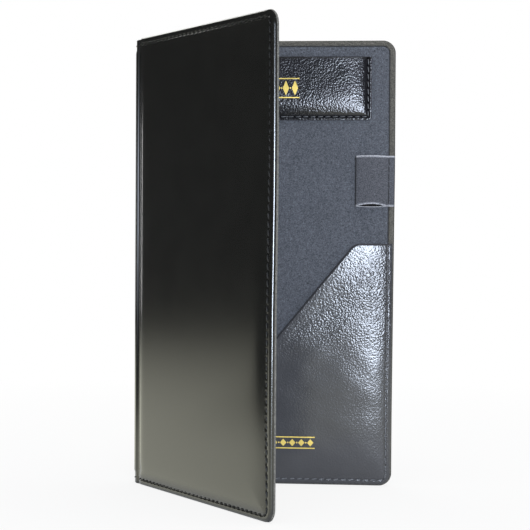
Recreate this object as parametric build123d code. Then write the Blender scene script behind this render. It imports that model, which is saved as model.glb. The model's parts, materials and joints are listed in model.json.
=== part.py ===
from build123d import *
import os
from math import atan, cos, degrees, radians, sin

# Guest check presenter: two padded covers joined by a soft spine, standing part
# open on their bottom edges.  The back cover carries a padded card pocket, a pen
# loop and a pocket with a slanted mouth; each has a gold foil ornament or a hem.
#
# Frame: +Z is up.  X runs along the back cover from the spine to its free edge,
# and the back cover's lining faces -Y.  The origin is the middle of the bottom
# of the bounding box.  All lengths are in millimetres, all angles in degrees.
#
# Each cover is built in its own cover frame: u from the crease axis to the free
# edge, v upwards from the bottom edge, w outwards from the face of the lining.
# What lies on the lining has a negative w.

# ---- Covers ----------------------------------------------------------------
cover_height = 254.0
cover_width = 144.0             # crease axis to free edge
corner_radius = 7.3             # outer corners at the free edge

# ---- Sheet stock -----------------------------------------------------------
skin_thickness = 1.0            # leatherette
lining_thickness = 0.6          # non-woven lining
board_thickness = 1.6           # greyboard
foam_thickness = 1.6            # padding between board and skin
thread_radius = 0.35

# ---- Sewn margin of the covers ---------------------------------------------
hem_width = 5.0                 # strip in which skin and lining are turned in
lining_setback = 0.5            # edge of the lining, inside the edge of the skin
seam_inset = 3.4                # stitch line, from the edge of the cover
crown_run = 9.0                 # the padding falls to the margin over this width
hinge_crown_run = 4.0           # the same beside the spine
pad_corner_radius = 4.0
ply_gap = 0.1                   # play between layers that only lie on each other
thread_play = 0.05              # groove round a thread
stitch_end_gap = 1.0            # a row of stitches stops this far from a fold

# ---- Spine -----------------------------------------------------------------
spine_span = 8.5                # between the two crease axes
spine_rise = 2.5                # arch of the middle of the spine above the span
crease_gap = 0.3                # running clearance of a crease

# ---- Pose at rest ----------------------------------------------------------
opening_angle = 53.0            # between the covers, 0 is closed
back_fold = 90.0                # fold at the back crease, 0 is flat

# ---- Card pocket -----------------------------------------------------------
card_pocket_drop = 9.6          # top edge of the cover to the pocket's mouth
card_pocket_height = 35.6
card_pocket_side = 14.0         # pocket to the crease axis and to the free edge
card_pocket_corner = 2.0
card_pocket_rim = 4.2           # flat sewn rim at the sides and the bottom
card_pocket_seam = 2.5          # stitch line, from the edge of the pocket
card_pocket_skin = 1.0
card_slot = 0.8                 # free height behind the pocket
card_pad_thickness = 1.4
card_pad_run = 5.0              # the pad falls to the rim over this width

# ---- Pen loop --------------------------------------------------------------
loop_drop = 20.5                # bottom of the card pocket to the loop
loop_height = 28.9
loop_reach = 22.4               # fold of the loop to the free edge of the cover
loop_ply = 0.7
loop_opening = 1.4              # height of the flattened loop's inside
loop_fold_opening = 0.6         # the same at the fold
loop_seam_margin = 1.5          # stitch line to the root of the loop
loop_lift = 0.3                 # loop above the lining
loop_end_setback = 0.2          # sewn ends, inside the edge of the cover
loop_swing = 180.0              # from the lining round to the outside

# ---- Slanted pocket --------------------------------------------------------
pocket_drop = 21.1              # bottom of the pen loop to the top of the pocket
pocket_shelf = 22.2             # level part of the mouth, from the free edge
pocket_toe = 10.5               # crease axis to the low end of the mouth
pocket_mouth_radius = 7.0       # where the level part turns into the slant
pocket_inset = 2.4              # edge of the pocket, inside the edge of the cover
pocket_skin = 0.8
pocket_space = 1.6              # free height behind the pocket
pocket_rim = 3.0                # flat sewn rim
pocket_run = 6.0                # the pocket rises from its rim over this width
pocket_hem_width = 8.0          # turned in along the mouth

# ---- Foil ornaments --------------------------------------------------------
foil_thickness = 0.08
rule_width = 0.7
card_foil_length = 36.0
card_foil_height = 11.5
card_foil_lozenges = 7
pocket_foil_length = 31.0
pocket_foil_height = 7.0
pocket_foil_lozenges = 6
pocket_foil_centre = 84.5       # from the crease axis
pocket_foil_rise = 24.3         # from the bottom edge of the cover

# ---- Levels and places that follow -----------------------------------------
hem_level = 2 * lining_thickness                    # underside of the skin's hem
margin_under = hem_level + skin_thickness           # underside of the skin there
margin_top = margin_under + skin_thickness          # outer face of the margin
board_top = lining_thickness + board_thickness
crown_under = board_top + foam_thickness
crown_top = crown_under + skin_thickness
spine_thickness = skin_thickness + ply_gap + lining_thickness
axis_level = spine_thickness / 2
hinge_edge = spine_thickness / 2 + crease_gap       # where a cover's layers begin
wall_inside = hinge_edge + skin_thickness
groove_radius = thread_radius + thread_play
seam_corner = max(corner_radius - seam_inset, 3 * groove_radius)

card_left = card_pocket_side
card_right = cover_width - card_pocket_side
card_top = cover_height - card_pocket_drop
card_bottom = card_top - card_pocket_height
card_pad_top = card_slot + card_pad_thickness
card_face = card_pad_top + card_pocket_skin

loop_top = card_bottom - loop_drop
loop_bottom = loop_top - loop_height
loop_fold = cover_width - loop_reach
loop_root = cover_width - seam_inset - loop_seam_margin
loop_stack = 2 * loop_ply
loop_crest = loop_lift + loop_stack + loop_opening
loop_axis_u = loop_root + crease_gap / 2
loop_axis_w = -((loop_stack + thread_radius + loop_crest) / 2 + crease_gap)

pocket_top = loop_bottom - pocket_drop
pocket_right = cover_width - pocket_inset
pocket_turn = cover_width - pocket_shelf
pocket_face = pocket_space + pocket_skin
pocket_slope = (pocket_top - pocket_inset) / (pocket_turn - pocket_toe)
cut_through = 5.0                                   # a cut runs this far past a face


# ---- Shapes in the cover frame ---------------------------------------------
def slab(u0, u1, v0, v1, w0, w1, radius=0.0):
    """A flat sheet between two levels, rounded at its free corners."""
    outline = Pos((u0 + u1) / 2, (v0 + v1) / 2) * Rectangle(u1 - u0, v1 - v0)
    if radius > 0:
        outline = fillet(outline.vertices().group_by(Axis.X)[-1], radius)
    return extrude(Pos(0, 0, w0) * outline, w1 - w0)


def crown(clearance, w0, w1):
    """The padded rise of a cover: a rounded rectangle that narrows from w0 to w1."""
    sections = []
    for level, hinge_run, run in ((w0, 0.0, 0.0), (w1, hinge_crown_run, crown_run)):
        u0 = wall_inside + clearance + hinge_run
        u1 = cover_width - hem_width - clearance - run
        v0 = hem_width + clearance + run
        v1 = cover_height - v0
        outline = RectangleRounded(u1 - u0, v1 - v0, pad_corner_radius)
        sections.append(Pos((u0 + u1) / 2, (v0 + v1) / 2, level) * outline)
    return loft(sections, ruled=True)


def padding_space(clearance):
    """The room between lining and skin inside the turned-in hems."""
    well = Pos((wall_inside + cover_width - hem_width) / 2, cover_height / 2)
    length = cover_width - hem_width - wall_inside - 2 * clearance
    width = cover_height - 2 * (hem_width + clearance)
    floor = well * RectangleRounded(length, width, pad_corner_radius)
    prism = extrude(Pos(0, 0, lining_thickness) * floor, margin_under - lining_thickness)
    return prism + crown(clearance, margin_under, crown_under - clearance)


def thread(points, corner, radius):
    """A run of thread: a round section carried along straight and rounded runs."""
    if len(points) > 2:
        path = FilletPolyline(*points, radius=corner)
    else:
        path = Line(*points)
    return sweep(Plane(origin=path @ 0, z_dir=path % 0) * Circle(radius), path=path)


def edge_seam(level):
    """Corner points of the stitch line along the three free edges of a cover."""
    near = hinge_edge
    far = cover_width - seam_inset
    low = seam_inset
    high = cover_height - seam_inset
    return [(near, high, level), (far, high, level), (far, low, level), (near, low, level)]


# ---- Covers ----------------------------------------------------------------
def cover_skin():
    """Leatherette: sewn margin, padded crown, turned-in hem and wall at the crease."""
    free = (hinge_edge, cover_width, 0.0, cover_height)
    sheet = slab(*free, hem_level, margin_top, corner_radius)
    sheet += crown(0.0, margin_top, crown_top)
    inner = (hem_width, cover_height - hem_width)
    sheet += slab(hinge_edge, wall_inside, *inner, lining_thickness, hem_level)
    sheet -= padding_space(0.0)
    return sheet - thread(edge_seam(margin_top), seam_corner, groove_radius)


def cover_lining(seams):
    """Lining sheet with its edges turned in; seams are the thread runs sunk in it."""
    edge = cover_width - lining_setback
    low = lining_setback
    high = cover_height - lining_setback
    radius = max(corner_radius - lining_setback, lining_setback)
    sheet = slab(hinge_edge, edge, low, high, 0.0, hem_level, radius)
    sheet -= slab(hinge_edge - cut_through, cover_width - hem_width, hem_width,
                  cover_height - hem_width, lining_thickness, hem_level)
    for run in seams:
        sheet -= thread(run, seam_corner, groove_radius)
    return sheet


def cover_board():
    """Greyboard that stiffens a cover."""
    whole = slab(0.0, cover_width, 0.0, cover_height, lining_thickness, board_top)
    return padding_space(ply_gap) & whole


def cover_foam():
    """Padding between the board and the skin; it thins out towards its rim."""
    whole = slab(0.0, cover_width, 0.0, cover_height, board_top, crown_under)
    return padding_space(ply_gap) & whole


def outer_thread():
    """Thread along the outside of a cover."""
    return thread(edge_seam(margin_top), seam_corner, thread_radius)


# ---- Stitch runs on the back cover's lining --------------------------------
seam_u = cover_width - seam_inset
seam_low = seam_inset
seam_high = cover_height - seam_inset
pocket_end = pocket_toe + (seam_low - pocket_inset) / pocket_slope
lining_runs = [
    [(hinge_edge, seam_high, 0.0), (seam_u, seam_high, 0.0),
     (seam_u, loop_top + thread_radius, 0.0)],
    [(seam_u, loop_bottom - thread_radius, 0.0), (seam_u, pocket_top + thread_radius, 0.0)],
    [(hinge_edge, seam_low, 0.0), (pocket_end - stitch_end_gap, seam_low, 0.0)],
]
loop_run = [(seam_u, loop_top - stitch_end_gap, -loop_stack),
            (seam_u, loop_bottom + stitch_end_gap, -loop_stack)]
pocket_run_points = [(seam_u, pocket_top - stitch_end_gap, -pocket_skin),
                     (seam_u, seam_low, -pocket_skin),
                     (pocket_end + stitch_end_gap, seam_low, -pocket_skin)]


# ---- Card pocket -----------------------------------------------------------
def card_mound(inset, run, w0, w1, top):
    """The pocket's padded rise between two levels, sloped at the sides and bottom."""
    sections = []
    for level, slope in ((w0, 0.0), (w1, run)):
        u0 = card_left + inset + slope
        u1 = card_right - inset - slope
        v0 = card_bottom + inset + slope
        middle = Pos((u0 + u1) / 2, (v0 + top) / 2, level)
        sections.append(middle * Rectangle(u1 - u0, top - v0))
    return loft(sections, ruled=True)


def card_seam():
    """Corner points of the pocket's stitch line: down, across and up again."""
    left = card_left + card_pocket_seam
    right = card_right - card_pocket_seam
    low = card_bottom + card_pocket_seam
    high = card_top - stitch_end_gap
    return [(left, high, -card_pocket_skin), (left, low, -card_pocket_skin),
            (right, low, -card_pocket_skin), (right, high, -card_pocket_skin)]


def card_pocket_panel():
    """Leatherette over the pad: flat rim, crowned middle and a turned-down mouth."""
    outline = Pos(cover_width / 2, (card_bottom + card_top) / 2)
    rim = outline * Rectangle(card_right - card_left, card_pocket_height)
    rim = fillet(rim.vertices().group_by(Axis.Y)[0], card_pocket_corner)
    sheet = extrude(rim, -card_pocket_skin)
    sheet += card_mound(card_pocket_rim, card_pad_run, -card_pocket_skin, -card_face, card_top)
    pad_room = card_mound(card_pocket_rim, card_pad_run, 0.0, -card_pad_top,
                          card_top - card_pocket_skin)
    slot = slab(card_left + card_pocket_rim, card_right - card_pocket_rim,
                card_top - 2 * card_pocket_skin, card_top + cut_through, -card_slot, 0.0)
    sheet = sheet - pad_room - slot
    return sheet - thread(card_seam(), card_pocket_corner, groove_radius)


def card_pocket_pad():
    """Foam pad inside the pocket; the cards slide between it and the lining."""
    room = card_mound(card_pocket_rim + ply_gap, card_pad_run, 0.0, ply_gap - card_pad_top,
                      card_top - card_pocket_skin - ply_gap)
    return room & slab(0.0, cover_width, 0.0, cover_height, -card_pad_top, -card_slot)


# ---- Pen loop --------------------------------------------------------------
def pen_loop():
    """The folded strip: a flattened lens seen from its end, closed at the root."""
    fold_radius = loop_ply + loop_fold_opening / 2
    low = loop_lift
    turn = loop_fold + fold_radius
    high = low + 2 * fold_radius
    crest = ((turn + loop_root) / 2, loop_crest)
    root_high = low + loop_stack + loop_fold_opening / 2
    edges = [
        Line((loop_root, low), (turn, low)),
        ThreePointArc((turn, low), (loop_fold, low + fold_radius), (turn, high)),
        ThreePointArc((turn, high), crest, (loop_root, root_high)),
        Line((loop_root, root_high), (loop_root, low)),
    ]
    outer = make_face(edges)
    ring = outer - offset(outer, amount=-loop_ply)
    # The section's second axis is the height above the lining, which is -w.
    return Pos(0, loop_bottom, 0) * Rot(-90, 0, 0) * extrude(ring, loop_height)


def pen_loop_ends():
    """The strip's two ends, stitched down on the lining beside the edge."""
    ends = slab(loop_root + crease_gap, cover_width - loop_end_setback, loop_bottom,
                loop_top, -loop_stack, 0.0)
    return ends - thread(loop_run, 0.0, groove_radius)


# ---- Slanted pocket --------------------------------------------------------
def pocket_outline(inset, beyond=0.0):
    """The pocket's outline: inset at its sewn sides, or cut past its mouth."""
    low = pocket_inset + inset
    right = pocket_right - inset
    shift = beyond * (1 + pocket_slope ** 2) ** 0.5 / pocket_slope
    toe = pocket_toe + (low - pocket_inset) / pocket_slope - shift
    turn = pocket_turn - shift + beyond / pocket_slope
    return Polyline((right, low), (right, pocket_top + beyond), (turn, pocket_top + beyond),
                    (toe, low), close=True)


def mouth_fillet(outline, radius):
    """Round the corner where the level part of the mouth meets the slant."""
    corner = outline.vertices().group_by(Axis.Y)[-1].sort_by(Axis.X)[0]
    return fillet(corner, radius)


def pocket_mound(inset, run, w0, w1, beyond):
    """The pocket's rise from its rim between two levels."""
    sections = []
    for level, slope in ((w0, 0.0), (w1, run)):
        outline = make_face(pocket_outline(inset + slope, beyond))
        sections.append(Pos(0, 0, level) * mouth_fillet(outline, pocket_mouth_radius))
    return loft(sections, ruled=True)


def slanted_pocket_panel():
    """Leatherette sheet: flat sewn rim at the right and bottom, free at its mouth."""
    rim = mouth_fillet(make_face(pocket_outline(0.0)), pocket_mouth_radius)
    corner = rim.vertices().sort_by_distance((pocket_right, pocket_inset))[0]
    rim = fillet(corner, max(corner_radius - pocket_inset, pocket_inset))
    sheet = extrude(rim, -pocket_skin)
    sheet += pocket_mound(pocket_rim, pocket_run, -pocket_skin, -pocket_face, 0.0)
    sheet -= pocket_mound(pocket_rim, pocket_run, 0.0, -pocket_space, cut_through)
    return sheet - thread(pocket_run_points, seam_corner, groove_radius)


def slanted_pocket_hem():
    """The ply turned in behind the mouth."""
    inset = pocket_rim + pocket_run
    outer = mouth_fillet(make_face(pocket_outline(inset)), pocket_mouth_radius)
    wide = make_face(pocket_outline(inset - cut_through, -pocket_hem_width))
    inner = mouth_fillet(wide, pocket_mouth_radius)
    return extrude(Pos(0, 0, -pocket_space) * (outer - inner), pocket_skin)


# ---- Foil ornaments --------------------------------------------------------
def ornament(centre_u, centre_v, length, height, count, level):
    """Two rules with a row of lozenges and dots between them."""
    pitch = length / count
    lozenge_height = height - 4 * rule_width
    shapes = []
    for side in (-1, 1):
        shapes.append(Pos(0, side * (height - rule_width) / 2) * Rectangle(length, rule_width))
    for index in range(count):
        place = (index - (count - 1) / 2) * pitch
        half = lozenge_height / 2
        corners = [(place - pitch * 0.36, 0), (place, half), (place + pitch * 0.36, 0),
                   (place, -half)]
        shapes.append(make_face(Polyline(*corners, close=True)))
        if index:
            shapes.append(Pos(place - pitch / 2, 0) * Circle(rule_width * 0.7))
    lifted = Pos(centre_u, centre_v, level)
    return [extrude(lifted * shape, -foil_thickness) for shape in shapes]


# ---- Spine -----------------------------------------------------------------
spine_radius = ((spine_span / 2) ** 2 + spine_rise ** 2) / (2 * spine_rise)
spine_half_angle = 2 * degrees(atan(2 * spine_rise / spine_span))
spine_outer = spine_radius + spine_thickness / 2
spine_inner = spine_radius - spine_thickness / 2


def spine_sheet(r0, r1, z0, z1):
    """A curved strip between two radii, with its arch towards local +X."""
    edges = [
        CenterArc((0, 0), r1, -spine_half_angle, 2 * spine_half_angle),
        CenterArc((0, 0), r0, -spine_half_angle, 2 * spine_half_angle),
    ]
    edges.append(Line(edges[0] @ 0, edges[1] @ 0))
    edges.append(Line(edges[0] @ 1, edges[1] @ 1))
    return extrude(Pos(0, 0, z0) * make_face(edges), z1 - z0)


def spine_threads(radius):
    """The stitch rows that cross the spine at its top and bottom, inside and out."""
    rows = []
    for surface in (spine_outer, spine_inner):
        spare = degrees(stitch_end_gap / surface)
        for height in (seam_inset, cover_height - seam_inset):
            path = Pos(0, 0, height) * CenterArc((0, 0), surface, spare - spine_half_angle,
                                                 2 * (spine_half_angle - spare))
            section = Plane(origin=path @ 0, z_dir=path % 0) * Circle(radius)
            rows.append(sweep(section, path=path))
    return rows


# ---- Placing ---------------------------------------------------------------
def unit(angle):
    """Unit vector in the XY plane at an angle from +X."""
    return Vector(cos(radians(angle)), sin(radians(angle)), 0)


back_axis = Vector(0, axis_level, 0)
spine_direction = unit(180 + back_fold)
front_axis = back_axis + spine_direction * spine_span
front_direction = unit(-opening_angle)
front_outward = unit(-90 - opening_angle)
spine_outward = unit(90 + back_fold)
spine_centre = (back_axis + front_axis) * 0.5 + spine_outward * (spine_rise - spine_radius)
front_place = Plane(origin=front_axis - front_outward * axis_level,
                    x_dir=front_direction, z_dir=front_outward).location
spine_place = Plane(origin=spine_centre, x_dir=spine_outward, z_dir=(0, 0, 1)).location


def on_back(shape):
    """Place a shape of the cover frame on the back cover (w becomes +Y)."""
    return Rot(90, 0, 0) * mirror(shape, about=Plane.XY)


def on_front(shape):
    """Place a shape of the cover frame on the front cover."""
    return front_place * shape


def on_spine(shape):
    """Place a shape of the spine's own frame."""
    return spine_place * shape


# ---- Nodes -----------------------------------------------------------------
front_inner_thread = thread(edge_seam(0.0), seam_corner, thread_radius)
spine_skin = spine_sheet(spine_outer - skin_thickness, spine_outer, 0.0, cover_height)
spine_lining = spine_sheet(spine_inner, spine_inner + lining_thickness, lining_setback,
                           cover_height - lining_setback)
for row in spine_threads(groove_radius):
    spine_skin -= row
    spine_lining -= row

cover_middle = (card_left + card_right) / 2
card_foil = ornament(cover_middle, (card_top + card_bottom) / 2, card_foil_length,
                     card_foil_height, card_foil_lozenges, -card_face)
pocket_foil = ornament(pocket_foil_centre, pocket_foil_rise, pocket_foil_length,
                       pocket_foil_height, pocket_foil_lozenges, -pocket_face)

nodes = {
    "front_cover_skin": (on_front, [cover_skin()]),
    "front_cover_foam": (on_front, [cover_foam()]),
    "front_cover_board": (on_front, [cover_board()]),
    "front_cover_lining": (on_front, [cover_lining([edge_seam(0.0)])]),
    "front_outer_thread": (on_front, [outer_thread()]),
    "front_lining_thread": (on_front, [front_inner_thread]),
    "back_cover_skin": (on_back, [cover_skin()]),
    "back_cover_foam": (on_back, [cover_foam()]),
    "back_cover_board": (on_back, [cover_board()]),
    "back_cover_lining": (on_back, [cover_lining(lining_runs)]),
    "back_outer_thread": (on_back, [outer_thread()]),
    "back_lining_thread": (on_back, [thread(run, seam_corner, thread_radius)
                                     for run in lining_runs]),
    "spine_skin": (on_spine, [spine_skin]),
    "spine_lining": (on_spine, [spine_lining]),
    "spine_thread": (on_spine, spine_threads(thread_radius)),
    "card_pocket_panel": (on_back, [card_pocket_panel()]),
    "card_pocket_pad": (on_back, [card_pocket_pad()]),
    "card_pocket_thread": (on_back, [thread(card_seam(), card_pocket_corner, thread_radius)]),
    "card_pocket_foil": (on_back, card_foil),
    "slanted_pocket_panel": (on_back, [slanted_pocket_panel()]),
    "slanted_pocket_hem": (on_back, [slanted_pocket_hem()]),
    "slanted_pocket_thread": (on_back, [thread(pocket_run_points, seam_corner, thread_radius)]),
    "slanted_pocket_foil": (on_back, pocket_foil),
    "pen_loop": (on_back, [pen_loop()]),
    "pen_loop_ends": (on_back, [pen_loop_ends()]),
    "pen_loop_thread": (on_back, [thread(loop_run, 0.0, thread_radius)]),
}
placed = {name: Compound([solid for shape in shapes for solid in place(shape).solids()])
          for name, (place, shapes) in nodes.items()}

# The origin goes to the middle of the bottom of the bounding box.
whole = Compound(list(placed.values())).bounding_box()
to_origin = Pos(-(whole.min.X + whole.max.X) / 2, -(whole.min.Y + whole.max.Y) / 2, -whole.min.Z)

os.makedirs("parts", exist_ok=True)
for name, shape in placed.items():
    export_step(to_origin * shape, f"parts/{name}.step")

# Places that the record repeats, in metres.
for label, point in (("back_crease", back_axis), ("front_crease", front_axis),
                     ("pen_loop_seam", Vector(loop_axis_u, loop_axis_w, 0)),
                     ("cover frame origin", Vector(0, 0, 0))):
    moved = to_origin.position + point
    print(f"{label}: {moved.X / 1000:.6f}, {moved.Y / 1000:.6f}")
print("front crease from closed to flat:", 180 - back_fold - opening_angle, "to flat,",
      opening_angle, "to closed")
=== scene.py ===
"""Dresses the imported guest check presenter: padded covers, soft spine, pockets, pen loop and their finishes.

Every surface is worked out in the frame of the cover that carries it (u from the crease, v upwards, w outwards
from the face of the lining, in millimetres) and is placed in the row frame, in metres, at the end.
"""

import json
import logging
import math
from collections.abc import Callable, Sequence
from dataclasses import dataclass, field, replace
from enum import Enum

import bpy
import numpy as np
from mathutils import Matrix

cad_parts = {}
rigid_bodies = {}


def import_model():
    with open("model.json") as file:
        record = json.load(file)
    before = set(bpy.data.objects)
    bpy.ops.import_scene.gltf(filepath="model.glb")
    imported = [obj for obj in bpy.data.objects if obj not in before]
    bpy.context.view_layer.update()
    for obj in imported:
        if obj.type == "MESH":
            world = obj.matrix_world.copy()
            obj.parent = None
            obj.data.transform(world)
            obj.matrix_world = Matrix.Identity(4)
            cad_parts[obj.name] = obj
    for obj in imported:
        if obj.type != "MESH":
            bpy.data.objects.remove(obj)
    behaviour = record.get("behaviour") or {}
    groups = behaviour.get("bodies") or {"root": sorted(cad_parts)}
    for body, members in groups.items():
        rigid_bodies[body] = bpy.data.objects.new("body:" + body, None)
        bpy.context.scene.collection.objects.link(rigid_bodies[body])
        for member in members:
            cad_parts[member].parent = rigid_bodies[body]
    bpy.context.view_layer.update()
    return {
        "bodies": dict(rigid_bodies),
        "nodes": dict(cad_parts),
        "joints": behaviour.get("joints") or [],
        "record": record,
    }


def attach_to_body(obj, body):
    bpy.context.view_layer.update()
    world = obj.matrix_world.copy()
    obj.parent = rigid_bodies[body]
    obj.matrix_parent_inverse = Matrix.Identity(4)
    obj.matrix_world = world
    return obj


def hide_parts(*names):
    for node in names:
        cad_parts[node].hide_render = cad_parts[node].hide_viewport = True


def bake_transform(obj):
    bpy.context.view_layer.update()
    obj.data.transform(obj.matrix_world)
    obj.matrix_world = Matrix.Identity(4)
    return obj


LOG = logging.getLogger("check_presenter")
MM = 0.001
AXIS_LEVEL = 0.85
UP = np.array([0.0, 0.0, 1.0])

Array = np.ndarray
Height = Callable[[Array, Array], Array]
Place = Callable[[Array], Array]
Point = tuple[float, float]
Socket = bpy.types.NodeSocket
Material = bpy.types.Material


class Slot(Enum):
    """Material slots of the record, passed along with the new pieces."""

    LEATHERETTE = "black_leatherette"
    LINING = "grey_lining"
    THREAD = "black_thread"
    FOIL = "gold_foil"


class Coordinates(Enum):
    """Where a pattern takes its coordinates from."""

    OBJECT = "Object"
    UV = "UV"


# ---- Numbers ---------------------------------------------------------------
def smooth(low: float, high: float, x: Array) -> Array:
    """Rise smoothly from 0 at low to 1 at high: 3 t squared minus 2 t cubed.

    Args:
        low: Where the rise starts.
        high: Where it ends.
        x: Values to map.

    Returns:
        The rise at each value.
    """
    t = np.clip((x - low) / (high - low), 0.0, 1.0)
    return t * t * (3.0 - 2.0 * t)


def bell(x: Array, centre: float, width: float) -> Array:
    """Gaussian bump of height 1: exp of minus the squared distance in widths."""
    return np.exp(-(((x - centre) / width) ** 2))


def unit(vectors: Array) -> Array:
    """Vectors of length one along the given ones."""
    return vectors / np.linalg.norm(vectors, axis=-1, keepdims=True)


def run_length(path: Array) -> Array:
    """Length along a path from its start to each of its points."""
    return np.r_[0.0, np.cumsum(np.linalg.norm(np.diff(path, axis=0), axis=1))]


def inwards(side: Array, end: Array, radius: float) -> Array:
    """Distance inwards from two edges that meet in a rounded corner.

    Args:
        side: Distance to one edge.
        end: Distance to the other.
        radius: Radius of the corner.

    Returns:
        The smaller of the two, or near the corner the radius less the distance to the corner's centre.
    """
    cut = radius - np.hypot(np.maximum(radius - side, 0.0), np.maximum(radius - end, 0.0))
    return np.where((side < radius) & (end < radius), cut, np.minimum(side, end))


def box(left: float, right: float, low: float, high: float) -> tuple[Point, ...]:
    """Corners of an upright rectangle, counter-clockwise from the low left one."""
    return (left, low), (right, low), (right, high), (left, high)


def ripple(u: Array, v: Array, wavelength: float, seed: int) -> Array:
    """Sum twelve plane waves with seeded directions and phases, scaled to about -1 to 1.

    Args:
        u: First coordinate, mm.
        v: Second coordinate, mm.
        wavelength: Mean distance between crests, mm.
        seed: Seed of the random draws.

    Returns:
        The height of the waves at each point.
    """
    rng = np.random.default_rng(seed)
    total = np.zeros_like(u)
    for turn, phase, stretch in rng.random((12, 3)):
        angle, k = turn * math.tau, math.tau / (wavelength * (0.6 + 0.8 * stretch))
        total += np.sin(k * (u * math.cos(angle) + v * math.sin(angle)) + phase * math.tau)
    return total / 4.0


# ---- Frames ----------------------------------------------------------------
@dataclass(frozen=True)
class CoverFrame:
    """A cover's own frame: where its crease stands and which way it runs."""

    body: str
    origin: Array
    along: Array
    outward: Array
    bow: tuple[Point, ...]
    bow_from: float
    lift: float
    bow_to: float = 144.6
    lift_from: float = 247.0
    lift_to: float = 253.5

    @property
    def axes(self) -> Array:
        """Row directions of u, v and w."""
        return np.stack([self.along, UP, self.outward])

    def bowed(self, points: Array) -> Array:
        """Let the free edge wander as a soft cover's does.

        Args:
            points: (..., 3) cover coordinates in mm.

        Returns:
            The points with u moved by the bow's knots along v, eased in towards the free edge, and v raised by
            the lift at the top.
        """
        u, v = points[..., 0], points[..., 1]
        knots = np.array(self.bow)
        aside = np.interp(v, knots[:, 0], knots[:, 1]) * smooth(self.bow_from, self.bow_to, u)
        return points + np.stack([aside, self.lift * smooth(self.lift_from, self.lift_to, v), 0.0 * u], -1)

    def to_row(self, points: Array) -> Array:
        """Row point = origin + u along + v up + w outward.

        Args:
            points: (..., 3) cover coordinates in mm.

        Returns:
            (..., 3) row coordinates in metres.
        """
        return self.origin + self.bowed(points) @ self.axes * MM

    def direction(self, vectors: Array) -> Array:
        """Turn directions of the cover frame into the row frame."""
        return vectors @ self.axes


@dataclass(frozen=True)
class Outline:
    """A four-cornered outline with rounded corners, counter-clockwise in cover coordinates, mm."""

    corners: tuple[Point, ...]
    radii: tuple[float, float, float, float]
    cells: tuple[int, int]
    least_radius: float = 0.02

    def ring(self, inset: float, split: int = 1) -> Array:
        """Walk round the outline moved inwards by inset.

        Each corner slides along its bisector by inset / sin(half angle) and its radius shrinks by inset. A point
        nearer to a corner than the arc's tangent length turns onto the arc, at an even rate, from the corner's
        bisector to the tangent point.

        Args:
            inset: Distance inwards, mm.
            split: Points per cell along each side.

        Returns:
            (n, 2) points, n = 2 split (cells[0] + cells[1]).
        """
        corner = np.array(self.corners, float)
        ahead = unit(np.roll(corner, -1, 0) - corner)
        behind = -np.roll(ahead, 1, 0)
        bisector = unit(ahead + behind)
        half = np.arccos(np.clip((ahead * behind).sum(1), -1.0, 1.0)) / 2.0
        moved = corner + bisector * (inset / np.sin(half))[:, None]
        radius = np.maximum(np.array(self.radii) - inset, self.least_radius)
        tangent = radius / np.tan(half)
        centre = moved + bisector * (radius / np.sin(half))[:, None]
        sweep = math.pi / 2.0 - half
        sides = []
        for k in range(4):
            end = (k + 1) % 4
            count = self.cells[k % 2] * split
            length = np.linalg.norm(moved[end] - moved[k])
            run = np.arange(count) / count * length
            points = moved[k] + run[:, None] * ahead[k]
            for at, distance, way in ((k, run, ahead[k]), (end, length - run, -ahead[k])):
                foot = moved[at] + tangent[at] * way - centre[at]
                near = distance < tangent[at]
                share = distance[near] / tangent[at]
                weight = np.stack([np.sin((1 - share) * sweep[at]), np.sin(share * sweep[at])], 1)
                spokes = np.stack([-bisector[at] * radius[at], foot])
                points[near] = centre[at] + weight @ spokes / math.sin(sweep[at])
            sides.append(points)
        return np.concatenate(sides)

    def fill(self, loop: Array) -> Array:
        """Span a loop with a Coons patch: opposite sides blended, less the corners counted twice.

        Args:
            loop: (n, 2) points with one point per cell.

        Returns:
            (nu + 1, nv + 1, 2) grid.
        """
        nu, nv = self.cells
        closed = np.concatenate([loop, loop[:1]])
        low, right = closed[: nu + 1], closed[nu : nu + nv + 1]
        high, left = closed[nu + nv : 2 * nu + nv + 1][::-1], closed[2 * nu + nv :][::-1]
        x = np.linspace(0.0, 1.0, nu + 1)[:, None, None]
        y = np.linspace(0.0, 1.0, nv + 1)[None, :, None]
        sides = (1 - y) * low[:, None] + y * high[:, None] + (1 - x) * left[None] + x * right[None]
        corners = (1 - y) * ((1 - x) * low[0] + x * low[-1]) + y * ((1 - x) * high[0] + x * high[-1])
        return sides - corners


# ---- Meshes ----------------------------------------------------------------
@dataclass
class Surface:
    """Points with faces of equal size in each array, and the place of each point on its sheet."""

    points: Array
    faces: list[Array]
    sheet: Array

    def joined(self, *others: "Surface") -> "Surface":
        """This surface and others as one."""
        parts, start, faces = [self, *others], 0, []
        for part in parts:
            faces += [block + start for block in part.faces]
            start += len(part.points)
        return Surface(
            np.concatenate([p.points for p in parts]), faces, np.concatenate([p.sheet for p in parts])
        )


def bridge(first: Array, second: Array) -> Array:
    """Faces between two closed loops: quads, or pentagons where the second has twice as many points.

    Args:
        first: Indices of the first loop.
        second: Indices of the second loop, as many or twice as many.

    Returns:
        (n, 4) or (n, 5) face indices.
    """
    ahead = np.roll(first, -1)
    if len(first) == len(second):
        return np.stack([first, ahead, np.roll(second, -1), second], 1)
    return np.stack([first, ahead, np.roll(second[::2], -1), second[1::2], second[::2]], 1)


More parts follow.
